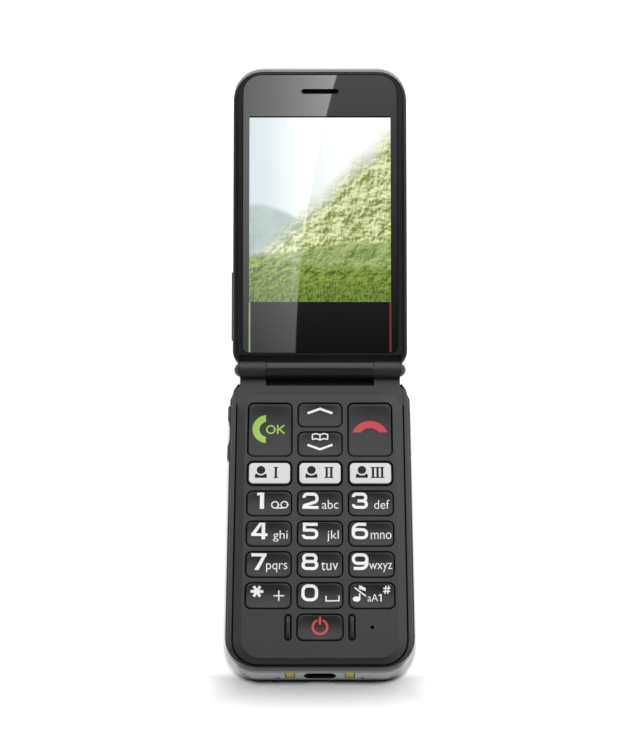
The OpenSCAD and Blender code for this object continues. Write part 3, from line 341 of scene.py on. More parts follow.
# A hair's breadth of straight side keeps the points of a round end apart.
HAIR = 0.001
WALL_FOOT, WALL_LEAN, WALL_TOP = 94.2, 1.1, 6.2
MOUTH_SHADE_T, MOUTH_SHADE_SINK = 0.17, 0.06
low, high = span([v.co*1000 for v in frame["nodes"]["usb_socket"].data.vertices])
middle, width, height = (low + high)/2, high.x - low.x, high.z - low.z
# Painted shade: black rubber lines the socket's mouth between the wall's face and the socket.
lines = []
for grow, front in ((0, False), (0, True), (MOUTH_SHADE_T, True), (MOUTH_SHADE_T, False)):
    line = []
    for x, z in ring(width + 2*grow, height + 2*grow, height/2 + grow - HAIR):
        wall = HINGE_Y - WALL_FOOT + WALL_LEAN*(middle.z + z)/WALL_TOP
        line.append((middle.x + x, wall + MOUTH_SHADE_SINK if front else low.y, middle.z + z))
    lines.append(line)
trim("usb_mouth_shade_lining", lines, rubber, "base")


# Key deck: the upper plate of the keypad half, with the two hinge knuckles, moulded in black ABS.
# It is screwed to the frame from behind. A strip of black rubber lies in the groove round it, a dark piece
# that paints the groove's shade.
# Spark erosion of the mould leaves the plastic matt, with a fine grain that breaks up the light.
eroded, tree, shader = material("spark_eroded_abs", {"IOR": 1.5})
mottle(tree, shader, size=6.67, detail=4, dark="#1e1e1f", light="#242425")
dulled(tree, shader, grained(tree, shader, strength=0.15, depth=0.03), low=0.4, high=0.5)
dress("base_front_case", eroded, edge=0.07, sharp=14)

DECK_W, DECK_FAR, DECK_R, GROOVE = 50, 91.7, 7.25, 0.5
GROOVE_SHADE_START, GROOVE_SHADE_FOOT, GROOVE_SHADE_TOP, GROOVE_SHADE_GAP, GROOVE_SHADE_STEPS = 11, 8.62, 8.95, 0.03, 12


def round_deck(offset, z):
    """Points along the deck's edge from one side round its free end to the other, some way outside it."""
    half = [(DECK_W/2 + offset, GROOVE_SHADE_START)]
    for k in range(GROOVE_SHADE_STEPS + 1):
        turn = math.pi/2*k/GROOVE_SHADE_STEPS
        half.append((DECK_W/2 - DECK_R + (DECK_R + offset)*math.cos(turn),
                     DECK_FAR - DECK_R + (DECK_R + offset)*math.sin(turn)))
    return [(x, HINGE_Y - s, z) for x, s in half] + [(-x, HINGE_Y - s, z) for x, s in reversed(half)]


# Painted shade: the black strip fills the groove so that it reads dark all along.
lines = [round_deck(offset, z) for offset, z in ((GROOVE_SHADE_GAP, GROOVE_SHADE_TOP), (GROOVE - GROOVE_SHADE_GAP, GROOVE_SHADE_TOP),
                                                 (GROOVE - GROOVE_SHADE_GAP, GROOVE_SHADE_FOOT), (GROOVE_SHADE_GAP, GROOVE_SHADE_FOOT))]
trim("groove_shade_strip", lines, rubber, "base", closed=False)


# Keys: single caps moulded in satin ABS, each dished for the finger, that rise through the deck's openings.
# A flange under the deck holds each one in, and a snap dome on the board lifts it.
KEY_TOP, FLANGE_TOP, FLANGE_Z = 10.3, 8.8, 8.3
KEY_W, KEY_L, TALL_L, KEY_R, KEY_EDGE, FLANGE = 13.1, 7.65, 17.11, 1.7, 0.3, 0.7
COL_PITCH, ROW_START, ROW_PITCH = 15.05, 14.8, 9.46
CONTACT_ROW, DIGIT_ROW, POWER_ROW = 2, 3, 7
# The dish: its depth, its radius across, its share of the depth at the ends, and how soon it runs out flat.
DISH, TALL_DISH, DISH_ACROSS, DISH_RISE, RUN_OUT = 0.52, 1.15, 60, 0.8, 6
TOP_RINGS, EDGE_RINGS = 14, 5

# Satin key ABS: black, smoother than the deck, so that each dish carries a soft gradient of light.
moulded, tree, shader = material("satin_key_abs", {"IOR": 1.5, "Specular IOR Level": 0.42})
mottle(tree, shader, size=4.545, detail=3, dark="#151516", light="#191919")
dulled(tree, shader, grained(tree, shader, strength=0.08, depth=0.02), low=0.31, high=0.37)


def lofted(name, rings, finish):
    """A closed piece through rings of equal count, with a point in the first and a flat end on the last."""
    count = len(rings[0])
    points = [p for one in rings for p in one]
    polygons = []
    for i in range(len(rings) - 1):
        a, b = i*count, (i + 1)*count
        polygons += [(a + j, b + j, b + (j + 1) % count, a + (j + 1) % count) for j in range(count)]
    points.append([sum(c)/count for c in zip(*rings[0])])
    polygons += [(len(points) - 1, j, (j + 1) % count) for j in range(count)]
    polygons.append(tuple(reversed(range((len(rings) - 1)*count, len(rings)*count))))
    return piece_of(name, points, polygons, finish)


def rounding(radius, steps):
    """Steps round an edge: how far each stands in from the side and how far below the top."""
    turns = [math.pi/2*k/steps for k in range(1, steps + 1)]
    return [(radius*(1 - math.sin(turn)), radius*(1 - math.cos(turn))) for turn in turns]


def dish_of(length, depth):
    """Height of a key's top over its plan: a bowl that runs out flat at the corners."""
    along = (length/2 - KEY_EDGE)**2/(2*DISH_RISE*depth)

    def height(x, t):
        rise = (x*x/(2*DISH_ACROSS) + t*t/(2*along))/depth
        return KEY_TOP - depth + depth*rise/(1 + rise**RUN_OUT)**(1/RUN_OUT)
    return height


def place_key(name, x, s, length, height):
    """One key cap at its place on the deck, over its own body."""
    y = HINGE_Y - s
    inner = ring(KEY_W - 2*KEY_EDGE, length - 2*KEY_EDGE, KEY_R - KEY_EDGE)
    rings = []
    for k in range(1, TOP_RINGS + 1):
        part = [(px*k/TOP_RINGS, py*k/TOP_RINGS) for px, py in inner]
        rings.append([(x + px, y + py, height(px, py)) for px, py in part])
    for inset, drop in rounding(KEY_EDGE, EDGE_RINGS):
        outer = ring(KEY_W - 2*inset, length - 2*inset, KEY_R - inset)
        rings.append([(x + px, y + py, height(*at) - drop) for (px, py), at in zip(outer, inner)])
    wall = ring(KEY_W, length, KEY_R)
    lip = ring(KEY_W + 2*FLANGE, length + 2*FLANGE, KEY_R + FLANGE)
    for outline, z in ((wall, FLANGE_TOP), (lip, FLANGE_TOP), (lip, FLANGE_Z)):
        rings.append([(x + px, y + py, z) for px, py in outline])
    cap = lofted(name + "_cap", rings, moulded)
    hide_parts(name)
    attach(cap, name)


short_dish, tall_dish = dish_of(KEY_L, DISH), dish_of(TALL_L, TALL_DISH)
TALL_S = ROW_START + ROW_PITCH/2
plan = {"ok_key": (-COL_PITCH, TALL_S), "end_key": (COL_PITCH, TALL_S), "up_key": (0, ROW_START),
        "down_key": (0, ROW_START + ROW_PITCH), "power_key": (0, ROW_START + POWER_ROW*ROW_PITCH)}
for i, mark in enumerate(("1", "2", "3", "4", "5", "6", "7", "8", "9", "star", "0", "hash")):
    plan["key_" + mark] = ((i % 3 - 1)*COL_PITCH, ROW_START + (DIGIT_ROW + i//3)*ROW_PITCH)
for name, (x, s) in plan.items():
    tall = name in ("ok_key", "end_key")
    place_key(name, x, s, TALL_L if tall else KEY_L, tall_dish if tall else short_dish)


# Quick-contact keys: a frame of black silicone rubber with a white polycarbonate plate let into its top.
# The plate stands flush, with its edge broken by a small radius, and its lower end is a little short.
LABEL_EDGE, LABEL_SHORT, LABEL_R, LABEL_T, LABEL_BREAK = 0.4, 0.3, 1.3, 0.6, 0.2
LABEL_RINGS, BREAK_RINGS = 6, 4
CONTACT_S = ROW_START + CONTACT_ROW*ROW_PITCH

# White polycarbonate: a clean pale grey white with a broad soft gloss.
pearl, tree, shader = material("white_polycarbonate", {"IOR": 1.58, "Roughness": 0.32})
mottle(tree, shader, size=2.5, detail=3, dark="#d0d0d1", light="#d7d7d8")
for i, mark in enumerate("123"):
    dress("contact_key_" + mark, rubber, edge=0.12)
    plan["contact_key_" + mark] = ((i - 1)*COL_PITCH, CONTACT_S)
    x, y = (i - 1)*COL_PITCH, HINGE_Y - CONTACT_S + LABEL_SHORT/2
    width, length = KEY_W - 2*LABEL_EDGE, KEY_L - 2*LABEL_EDGE - LABEL_SHORT
    inner = ring(width - 2*LABEL_BREAK, length - 2*LABEL_BREAK, LABEL_R - LABEL_BREAK)
    rings = [[(x + px*k/LABEL_RINGS, y + py*k/LABEL_RINGS, KEY_TOP) for px, py in inner]
             for k in range(1, LABEL_RINGS + 1)]
    for inset, drop in [*rounding(LABEL_BREAK, BREAK_RINGS), (0, LABEL_T)]:
        outer = ring(width - 2*inset, length - 2*inset, LABEL_R - inset)
        rings.append([(x + px, y + py, KEY_TOP - drop) for px, py in outer])
    plate = lofted("contact_plate_" + mark, rings, pearl)
    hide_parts("contact_label_" + mark)
    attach(plate, "contact_key_" + mark)


# Key legends: ink pad-printed on the dished keys, about 0.02 mm thick.
# Digits are wide and bold, with small letters beside them; the call keys carry green and red signs.
# The print is made 0.03 mm thick and lies a little towards the hinge from the key's middle.
INK, LIFT, INK_STEP = 0.03, 0.2, 0.7


def printing_ink(name, code, other, gleam=0.25):
    """Matt printing ink of one colour, slightly uneven where it wets the plastic."""
    made, tree, shader = material(name, {"Roughness": 0.5, "IOR": 1.5, "Specular IOR Level": gleam})
    mottle(tree, shader, size=0.667, detail=2, dark=code, light=other)
    return made


white_ink = printing_ink("white_ink", "#ececec", "#f3f3f3")
green_ink = printing_ink("green_ink", "#9ac250", "#a1c759")
red_ink = printing_ink("red_ink", "#c44247", "#ca4b4f")
black_ink = printing_ink("black_ink", "#0b0b0c", "#101011")


def rounded(corners, closed=False, steps=8):
    """A line through corners (x, t, radius), with each corner drawn as an arc."""
    line = []
    for i, (x, t, radius) in enumerate(corners):
        p = Vector((x, t))
        if not radius or (not closed and i in (0, len(corners) - 1)):
            line.append(p)
            continue
        u = (Vector(corners[i - 1][:2]) - p).normalized()
        v = (Vector(corners[(i + 1) % len(corners)][:2]) - p).normalized()
        half = u.angle(v)/2
        centre = p + (u + v).normalized()*radius/math.sin(half)
        start, end = p + u*radius/math.tan(half) - centre, p + v*radius/math.tan(half) - centre
        turn = start.angle_signed(end)
        for k in range(steps + 1):
            a = -turn*k/steps
            line.append(centre + Vector((start.x*math.cos(a) - start.y*math.sin(a),
                                         start.x*math.sin(a) + start.y*math.cos(a))))
    return line


def stroke(line, width, closed=False):
    """A line of pen width, as quads that meet on mitres."""
    line = [Vector(p) for p in line]
    count = len(line)
    sides = []
    for i, p in enumerate(line):
        before = (p - line[i - 1]).normalized() if closed or i else None
        after = (line[(i + 1) % count] - p).normalized() if closed or i < count - 1 else None
        before, after = before or after, after or before
        across = Vector((-before.y - after.y, before.x + after.x)).normalized()
        reach = width/2/max(0.3, across.dot(Vector((-after.y, after.x))))
        sides.append((p + across*reach, p - across*reach))
    pairs = [(sides[i], sides[(i + 1) % count]) for i in range(count if closed else count - 1)]
    return [[a[0], a[1], b[1], b[0]] for a, b in pairs]


def arc(x, t, radius, start, end, steps=40):
    """A line along part of a circle, in degrees."""
    turns = [math.radians(start + (end - start)*k/steps) for k in range(steps + 1)]
    return [Vector((x + radius*math.cos(a), t + radius*math.sin(a))) for a in turns]


def patch(*points):
    """A closed outline through points."""
    return [Vector(p) for p in points]


def block(x0, t0, x1, t1):
    """A plain rectangle of ink."""
    return patch((x0, t0), (x1, t0), (x1, t1), (x0, t1))


def fitted(shapes, box):
    """Shapes moved and stretched into the box (x0, t0, x1, t1) that they take up on their key."""
    xs, ts = [p[0] for q in shapes for p in q], [p[1] for q in shapes for p in q]
    kx, kt = (box[2] - box[0])/(max(xs) - min(xs)), (box[3] - box[1])/(max(ts) - min(ts))
    return [[Vector((box[0] + (p[0] - min(xs))*kx, box[1] + (p[1] - min(ts))*kt)) for p in q] for q in shapes]


def within(p, shape):
    """Whether a point lies inside a closed outline."""
    inside = False
    for i, a in enumerate(shape):
        b = shape[i - 1]
        if (a[1] > p[1]) != (b[1] > p[1]) and p[0] < (b[0] - a[0])*(p[1] - a[1])/(b[1] - a[1]) + a[0]:
            inside = not inside
    return inside


def inked(shapes, bare=()):
    """Points and triangles of what the shapes cover, less the bare ones, fine enough to lie in a dish."""
    points, lines = [], []
    for outline in [*shapes, *bare]:
        count, start = len(outline), len(points)
        lines += [(start + i, start + (i + 1) % count) for i in range(count)]
        points += [Vector(p[:2]) for p in outline]
    low = [min(p[i] for p in points) for i in (0, 1)]
    high = [max(p[i] for p in points) for i in (0, 1)]
    for i in range(1, int((high[0] - low[0])/INK_STEP) + 1):
        for j in range(1, int((high[1] - low[1])/INK_STEP) + 1):
            points.append(Vector((low[0] + i*INK_STEP, low[1] + j*INK_STEP)))
    found, _, triangles = delaunay_2d_cdt(points, lines, [], 0, 1e-5)[:3]
    kept = []
    for one in triangles:
        middle = sum((found[i] for i in one), Vector((0, 0)))/len(one)
        if any(within(middle, q) for q in shapes) and not any(within(middle, q) for q in bare):
            kept.append(one)
    used = sorted({i for one in kept for i in one})
    index = {old: new for new, old in enumerate(used)}
    return [found[i] for i in used], [[index[i] for i in one] for one in kept]


LETTER_STEPS, LETTER_THIN = 5, 0.007


def lettered(words, box):
    """Points and polygons of small letters, set in the built-in face, thinned and fitted into their box."""
    curve = bpy.data.curves.new("letters", "FONT")
    curve.body, curve.resolution_u, curve.offset = words, LETTER_STEPS, -LETTER_THIN
    setter = bpy.data.objects.new("letters", curve)
    bpy.context.scene.collection.objects.link(setter)
    mesh = setter.evaluated_get(bpy.context.evaluated_depsgraph_get()).to_mesh()
    points = [v.co.xy.copy() for v in mesh.vertices]
    polygons = [list(p.vertices) for p in mesh.polygons]
    bpy.data.objects.remove(setter)
    return fitted([points], box)[0], polygons


def face_up(points, polygon):
    """A polygon whose points run counterclockwise as seen from above."""
    (ax, ay, _), (bx, by, _), (cx, cy, _) = [points[i] for i in polygon[:3]]
    return polygon if ax*(by - cy) + bx*(cy - ay) + cx*(ay - by) > 0 else polygon[::-1]


def legend(name, body, ink, *areas, height=short_dish):
    """Ink areas on a key, laid on its top as one thin print."""
    x, y = plan[body][0], HINGE_Y - plan[body][1]
    points, polygons = [], []
    for found, triangles in areas:
        polygons += [[len(points) + i for i in one] for one in triangles]
        points += [(x + p[0], y + p[1] + LIFT, height(p[0], p[1] + LIFT) + 0.5*INK) for p in found]
    sign = piece_of(name, points, [face_up(points, one) for one in polygons], ink)
    sign.data.shade_flat()
    film = sign.modifiers.new("film", "SOLIDIFY")
    film.thickness = INK/1000
    film.offset = -1
    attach(sign, body)


# Wide digits, drawn with a broad pen in a box of one size.
PEN, DIGIT_W, DIGIT_H, DIGIT_FOOT = 0.92, 4.9, 5, -1.75
LEFT, RIGHT, LOW, MID, HIGH = PEN/2, DIGIT_W - PEN/2, PEN/2, DIGIT_H/2, DIGIT_H - PEN/2


def pen(*corners, closed=False):
    """A stroke of the digits' pen through corners (x, t, radius)."""
    return stroke(rounded(corners, closed), PEN, closed)


six = pen((LEFT, LOW, 1.15), (RIGHT, LOW, 1.15), (RIGHT, 2.95, 1.15), (LEFT, 2.95, 1.15), closed=True) \
    + pen((LEFT, 1.8, 0), (LEFT, HIGH, 1.7), (4.35, HIGH, 0))
digits = {
    "0": pen((LEFT, LOW, 1.5), (RIGHT, LOW, 1.5), (RIGHT, HIGH, 1.5), (LEFT, HIGH, 1.5), closed=True),
    "1": [block(0.85, 0, 2.07, DIGIT_H), patch((0, 4.85), (0, 4.1), (0.9, 4.25), (0.9, DIGIT_H))],
    "2": pen((LEFT, 3.4, 0), (LEFT, HIGH, 1.1), (RIGHT, HIGH, 1.1), (RIGHT, 2.35, 1.0), (0.6, 1.05, 0.4),
             (0.5, LOW, 0)) + [block(0, 0, DIGIT_W, 0.9)],
    "3": pen((LEFT, 3.6, 0), (LEFT, HIGH, 0.9), (4.25, HIGH, 1.0), (4.25, MID, 1.0), (1.7, MID, 0))
    + pen((1.7, MID, 0), (RIGHT, MID, 1.0), (RIGHT, LOW, 1.0), (LEFT, LOW, 0.9), (LEFT, 1.4, 0)),
    "4": [block(3.15, 0, 4.2, DIGIT_H), block(0, 1.0, DIGIT_W, 1.85),
          patch((2.45, DIGIT_H), (3.5, DIGIT_H), (1.25, 1.6), (0, 1.6))],
    "5": pen((4.7, HIGH, 0), (0.72, HIGH, 0), (0.72, 2.8, 0))
    + pen((0.3, 2.8, 0), (RIGHT, 2.8, 1.1), (RIGHT, LOW, 1.1), (LEFT, LOW, 0.85), (LEFT, 1.35, 0)),
    "6": six,
    "7": [block(0, 4.1, 4.4, DIGIT_H), patch((3.15, 4.2), (4.4, 4.6), (2.1, 0), (0.9, 0))],
    "8": pen((LEFT, LOW, 1.05), (RIGHT, LOW, 1.05), (RIGHT, 2.6, 1.05), (LEFT, 2.6, 1.05), closed=True)
    + pen((0.68, 2.6, 0.95), (4.22, 2.6, 0.95), (4.22, HIGH, 0.95), (0.68, HIGH, 0.95), closed=True),
    "9": [[Vector((DIGIT_W - p[0], DIGIT_H - p[1])) for p in q] for q in six],
}
# Where each digit starts and ends across its key, and the box that its small letters fill.
digit_x = {"1": (-3.6, -1.5), "2": (-5.2, -0.45), "3": (-5.6, -0.85), "4": (-5.2, -0.4), "5": (-5.3, -0.5),
           "6": (-5.7, -0.9), "7": (-5.0, -0.6), "8": (-5.4, -0.5), "9": (-5.75, -0.9), "0": (-5.4, -0.55)}
letters = {"2": ("abc", (0.6, -1.75, 5.4, 1.05)), "3": ("def", (1.0, -1.75, 5.5, 1.0)),
           "4": ("ghi", (1.25, -2.5, 5.55, 0.95)), "5": ("jkl", (2.1, -2.5, 5.5, 0.95)),
           "6": ("mno", (-0.1, -1.75, 5.95, 0.3)), "7": ("pqrs", (-0.65, -2.45, 5.5, 0.35)),
           "8": ("tuv", (0.35, -1.8, 5.25, 0.75)), "9": ("wxyz", (-0.7, -2.45, 6.0, 0.35))}
# Beside the 1 stand two loops on a line, for messages, and beside the 0 a bracket, for a space.
LOOP_R, LOOP_T, LOOP_PEN, SPACE_PEN = 1.0, -0.48, 0.33, 0.36
loops = [q for x in (1.73, 4.5) for q in stroke(arc(x, LOOP_T, LOOP_R, 0, 360), LOOP_PEN, True)]
signs = {"1": inked(loops + [block(1.7, -1.65, 4.5, -1.32)]),
         "0": inked(stroke([(1.75, -0.1), (1.75, -1.65), (5.5, -1.65), (5.5, -0.1)], SPACE_PEN))}
for mark, outline in digits.items():
    start, end = digit_x[mark]
    areas = [inked(fitted(outline, (start, DIGIT_FOOT, end, DIGIT_FOOT + DIGIT_H)))]
    if mark in letters:
        areas.append(lettered(*letters[mark]))
    if mark in signs:
        areas.append(signs[mark])
    legend("legend_" + mark, "key_" + mark, white_ink, *areas)

# The star key has six arms and a plus.
STAR, STAR_W, STAR_H, STAR_PEN = Vector((-3.25, 1.2)), 1.85, 1.75, 0.8
arms = [Vector((STAR_W*math.cos(a), STAR_H*math.sin(a))) for a in (0, math.pi/3, 2*math.pi/3)]
star = [q for arm in arms for q in stroke([STAR + arm, STAR - arm], STAR_PEN)]
plus = [block(1.55, -0.25, 4.65, 0.1), block(2.93, -1.65, 3.28, 1.5)]
legend("legend_star", "key_star", white_ink, inked(star), inked(plus))

# The hash key has a struck-out note, the signs for small, capital and number, and the hash.
NOTE, NOTE_W, NOTE_H, NOTE_STEPS = Vector((-4.45, -1.1)), 1.1, 0.8, 24
SLASH, SLASH_PEN, SLASH_BARE, HASH_PEN, TICK_PEN = ((-5.0, 2.3), (-1.75, -0.15)), 0.42, 1.0, 0.36, 0.3
turns = [math.tau*k/NOTE_STEPS for k in range(NOTE_STEPS)]
note = [[NOTE + Vector((NOTE_W*math.cos(a), NOTE_H*math.sin(a))) for a in turns],
        block(-3.75, -1.1, -3.35, 2.9), patch((-3.4, 2.95), (-1.8, 2.2), (-1.8, 1.25), (-3.4, 1.9))]
hash_lines = (((3.75, 0.5), (4.1, 2.85)), ((4.55, 0.5), (4.9, 2.85)),
              ((3.25, 1.2), (5.3, 1.2)), ((3.3, 2.1), (5.4, 2.1)))
small_one = [block(2.45, -1.8, 2.8, 0.45), *stroke([(1.95, -0.05), (2.6, 0.3)], TICK_PEN)]
legend("legend_hash", "key_hash", white_ink,
       inked(note, stroke(SLASH, SLASH_BARE)), inked(stroke(SLASH, SLASH_PEN)),
       inked([q for line in hash_lines for q in stroke(line, HASH_PEN)]),
       lettered("aA", (-1.25, -1.8, 1.75, 0.45)), inked(small_one))

# The up and down keys have a wide chevron each, and the down key an open book above it.
CHEVRON_X, CHEVRON_RISE, CHEVRON_SAG, CHEVRON_PEN, PAGE_PEN = 3.75, 1.4, 0.05, 0.72, 0.4
page = ((0, 1.3, 0), (1.2, 1.75, 0.5), (2.3, 1.45, 0.2), (2.3, 3.0, 0.4), (1.1, 3.25, 0.6), (0, 2.85, 0))
book = [q for side in (-1, 1) for q in stroke(rounded([(side*x, t, r) for x, t, r in page]), PAGE_PEN)]
book.append(block(-0.2, 1.2, 0.2, 2.9))
for name, tip, middle, more in (("up_key", 1, 0.6, []), ("down_key", -1, -0.3, [inked(book)])):
    ends, peak = middle - CHEVRON_SAG*tip, middle + CHEVRON_RISE*tip
    chevron = stroke([(-CHEVRON_X, ends), (0, peak), (CHEVRON_X, ends)], CHEVRON_PEN)
    legend("legend_" + name, name, white_ink, inked(chevron), *more)

# The call, end and power signs are arcs of a broad pen, cut off where a bare block lies on them.
CALL_PEN, END_PEN, ROUND_PEN, ARM_PEN, POWER_PEN = 2.1, 2.25, 0.46, 0.5, 0.68
call = inked(stroke(arc(-0.75, 0.3, 3.52, 90, 270), CALL_PEN), [block(-1.29, -6, 0, 6)])
ok_sign = stroke(arc(0.2, 0.25, 1.22, 0, 360), ROUND_PEN, True) + [block(2.05, -1.2, 2.52, 1.7)] \
    + stroke([(4.25, 1.62), (2.4, 0.1)], ARM_PEN) + stroke([(2.75, 0.35), (4.3, -1.15)], ARM_PEN)
legend("legend_ok", "ok_key", green_ink, call, inked(ok_sign), height=tall_dish)
hang_up = inked(stroke(arc(0, -2.5, 4.4, 10, 170), END_PEN), [block(-6, -3, 6, -0.7)])
legend("legend_end", "end_key", red_ink, hang_up, height=tall_dish)
power = stroke(arc(0, 0.05, 2.1, 112, 428), POWER_PEN) + [block(-0.38, 0.75, 0.38, 3.0)]
legend("legend_power", "power_key", red_ink, inked(power))

# The white plates show a head and shoulders, and one, two or three bars with serifs.
HEAD, HEAD_R, NECK_R = (-2.55, 0.95), 1.27, 1.75
BAR_FIRST, BAR_STEP, BAR_W, BAR_LOW, BAR_HIGH = (1.9, 2.0, 0.75), 1.36, 0.68, -1.6, 1.9
SERIF_W, SERIF_H = 1.28, 0.35
head, neck = arc(*HEAD, HEAD_R, 0, 360)[:-1], arc(*HEAD, NECK_R, 0, 360)[:-1]
shoulders = patch((-4.35, -1.55), (-0.8, -1.55), (-0.8, -0.55), (-1.15, -0.2), (-4.0, -0.2), (-4.35, -0.55))
for i, mark in enumerate("123"):
    bars = []
    for k in range(i + 1):
        x = BAR_FIRST[i] + BAR_STEP*k
        bars += [block(x - BAR_W/2, BAR_LOW, x + BAR_W/2, BAR_HIGH),
                 block(x - SERIF_W/2, BAR_HIGH - SERIF_H, x + SERIF_W/2, BAR_HIGH),
                 block(x - SERIF_W/2, BAR_LOW, x + SERIF_W/2, BAR_LOW + SERIF_H)]
    legend("legend_contact_" + mark, "contact_key_" + mark, black_ink, inked([head]),
           inked([shoulders], [neck]), inked(bars), height=lambda x, t: KEY_TOP)


# Guard bars beside the power key: two small crowned bars of black ABS, set into seats in the deck.
# A ring of black rubber round the foot of each paints the shade in its seat, and a fingertip finds the key
# between them.
BAR_SLIM, BAR_CROWN, BAR_RINGS = 0.2, 0.45, 6
SHADE_RING_IN, SHADE_RING_OUT, SHADE_RING_FOOT, SHADE_RING_TOP = -0.18, 0.23, 9.55, 10.05
for hand, side in (("left", -1), ("right", 1)):
    low, high = span([v.co*1000 for v in frame["nodes"]["guard_bars"].data.vertices if v.co.x*side > 0])
    middle, width, length = (low + high)/2, high.x - low.x, high.y - low.y
    outline = ring(width - 2*BAR_SLIM, length - 2*BAR_SLIM, width/2 - BAR_SLIM - HAIR)
    rings = []
    for share in [k/BAR_RINGS for k in range(1, BAR_RINGS + 1)]:
        z = high.z - BAR_CROWN*share**4
        rings.append([(middle.x + x*share, middle.y + y*share, z) for x, y in outline])
    rings.append([(middle.x + x, middle.y + y, low.z) for x, y in outline])
    bar = lofted("guard_bar_" + hand, rings, moulded)
    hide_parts("guard_bars")
    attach(bar, "base")
    # Painted shade: a black rubber ring round the bar's foot.
    lines = []
    for grow, z in ((SHADE_RING_IN, SHADE_RING_TOP), (SHADE_RING_OUT, SHADE_RING_TOP), (SHADE_RING_OUT, SHADE_RING_FOOT), (SHADE_RING_IN, SHADE_RING_FOOT)):
        outline = ring(width + 2*grow, length + 2*grow, width/2 + grow - HAIR)
        lines.append([(middle.x + x, middle.y + y, z) for x, y in outline])
    trim("bar_shade_ring_" + hand, lines, rubber, "base")


# Hinge: the knuckles' domed end caps close the ends of the pin, moulded in the same satin ABS as the frame.
# A thin black washer in each gap keeps the barrel off the knuckles.
dress("hinge_end_caps", satin)
WASHER_X, WASHER_T, WASHER_IN, WASHER_OUT, WASHER_STEPS = 16.375, 0.07, 1.6, 2.5, 64
turns = [math.tau*k/WASHER_STEPS for k in range(WASHER_STEPS)]
for name, side in (("hinge_washer_left", -1), ("hinge_washer_right", 1)):
    lines = []
    for half, radius in ((-1, WASHER_IN), (-1, WASHER_OUT), (1, WASHER_OUT), (1, WASHER_IN)):
        x = side*WASHER_X + half*WASHER_T/2
        lines.append([(x, HINGE_Y + radius*math.cos(a), HINGE_Z + radius*math.sin(a)) for a in turns])
    trim(name, lines, resin, "base")


# Side keys: the volume rocker in the keypad half and one long key in the display half, moulded in satin ABS.
# Each is held from inside by its flange.
dress("volume_rocker", satin, edge=0.25)
dress("lid_side_key", satin, edge=0.25)


# Display half: a black ABS case with the hinge barrel, closed from outside by a cover in silver lacquer.
# A fine groove sets the bezel off from the case's outer edge, and woven mesh closes the earpiece slot.
dress("lid_front_case", satin, edge=0.15)
dress("lid_outer_cover", silver, edge=0.12)

# Woven mesh: black polyester threads, drawn 0.14 mm apart so that they show. Their near-black colour is
# partly the threads' own and partly painted shade of the deep slot.
THREAD = 0.139
weave, tree, shader = material("black_woven_mesh", {"Roughness": 0.85, "Specular IOR Level": 0.15})
place = add(tree, "ShaderNodeTexCoord")
add(tree, "ShaderNodeTexBrick", {
    "Color1": linear("#060606"), "Color2": linear("#090909"), "Mortar": linear("#020202"),
    "Scale": 1000*BRICK_ROW/THREAD, "Mortar Size": 0.05, "Row Height": BRICK_ROW},
    {"Vector": place.outputs["Object"]}, shader.inputs["Base Color"])
dress("earpiece_mesh", weave)


# Display lens: a hard-coated acrylic plate, printed black from behind, bonded over the display.
# The picture shows through its clear window; it is a made-up scene of misty hills over a meadow.
TILT, LENS_TOP, LENS_SKIN = math.radians(20), -0.35, 0.05
PICTURE = (-21.75, 20.95, 21.75, 78.15)


def on_lid(x, s, z):
    """A point of the display half, from its place across, along and above the hinge axis, in mm."""
    return (x, HINGE_Y + s*math.cos(TILT) - z*math.sin(TILT), HINGE_Z + s*math.sin(TILT) + z*math.cos(TILT))


def lid_place(tree):
    """Place on the display half in mm: across, along and above the hinge axis, joined and apart."""
    place = add(tree, "ShaderNodeTexCoord")
    spin = add(tree, "ShaderNodeMapping", {
        "vector_type": "TEXTURE", "Location": (0, HINGE_Y/1000, HINGE_Z/1000), "Rotation": (TILT, 0, 0),
        "Scale": (0.001, 0.001, 0.001)}, {"Vector": place.outputs["Object"]})
    return spin.outputs[0], add(tree, "ShaderNodeSeparateXYZ", (), {0: spin}).outputs


def all_of(tree, *tests):
    """One where each value passes its test (value, comparison, bound), and nothing elsewhere."""
    inside = None
    for value, sign, bound in tests:
        passed = add(tree, "ShaderNodeMath", {"operation": sign, 1: bound}, {0: value}).outputs[0]
        inside = passed if inside is None else add(
            tree, "ShaderNodeMath", {"operation": "MULTIPLY"}, {0: inside, 1: passed}).outputs[0]
    return inside


def box_tests(local, box):
    """Tests for a place inside a box (x0, s0, x1, s1) of the display half."""
    return [(local["X"], "GREATER_THAN", box[0]), (local["X"], "LESS_THAN", box[2]),
            (local["Y"], "GREATER_THAN", box[1]), (local["Y"], "LESS_THAN", box[3])]


# Hard-coated acrylic: deep black and mirror smooth, so that it shows clear reflections over the lit picture.
acrylic, tree, shader = material("printed_acrylic_lens", {
    "Base Color": linear("#070708"), "Roughness": 0.015, "IOR": 1.49})
spin, local = lid_place(tree)
x0, s0, x1, s1 = PICTURE
across = add(tree, "ShaderNodeMapRange", {"From Min": x0, "From Max": x1}, {"Value": local["X"]})
up = add(tree, "ShaderNodeMapRange", {"From Min": s0, "From Max": s1}, {"Value": local["Y"]})
sky = add(tree, "ShaderNodeValToRGB", {"ramp": ((0.1, "#cddade"), (0.6, "#fbfdfd"))}, {"Fac": across})
scenery = sky.outputs[0]
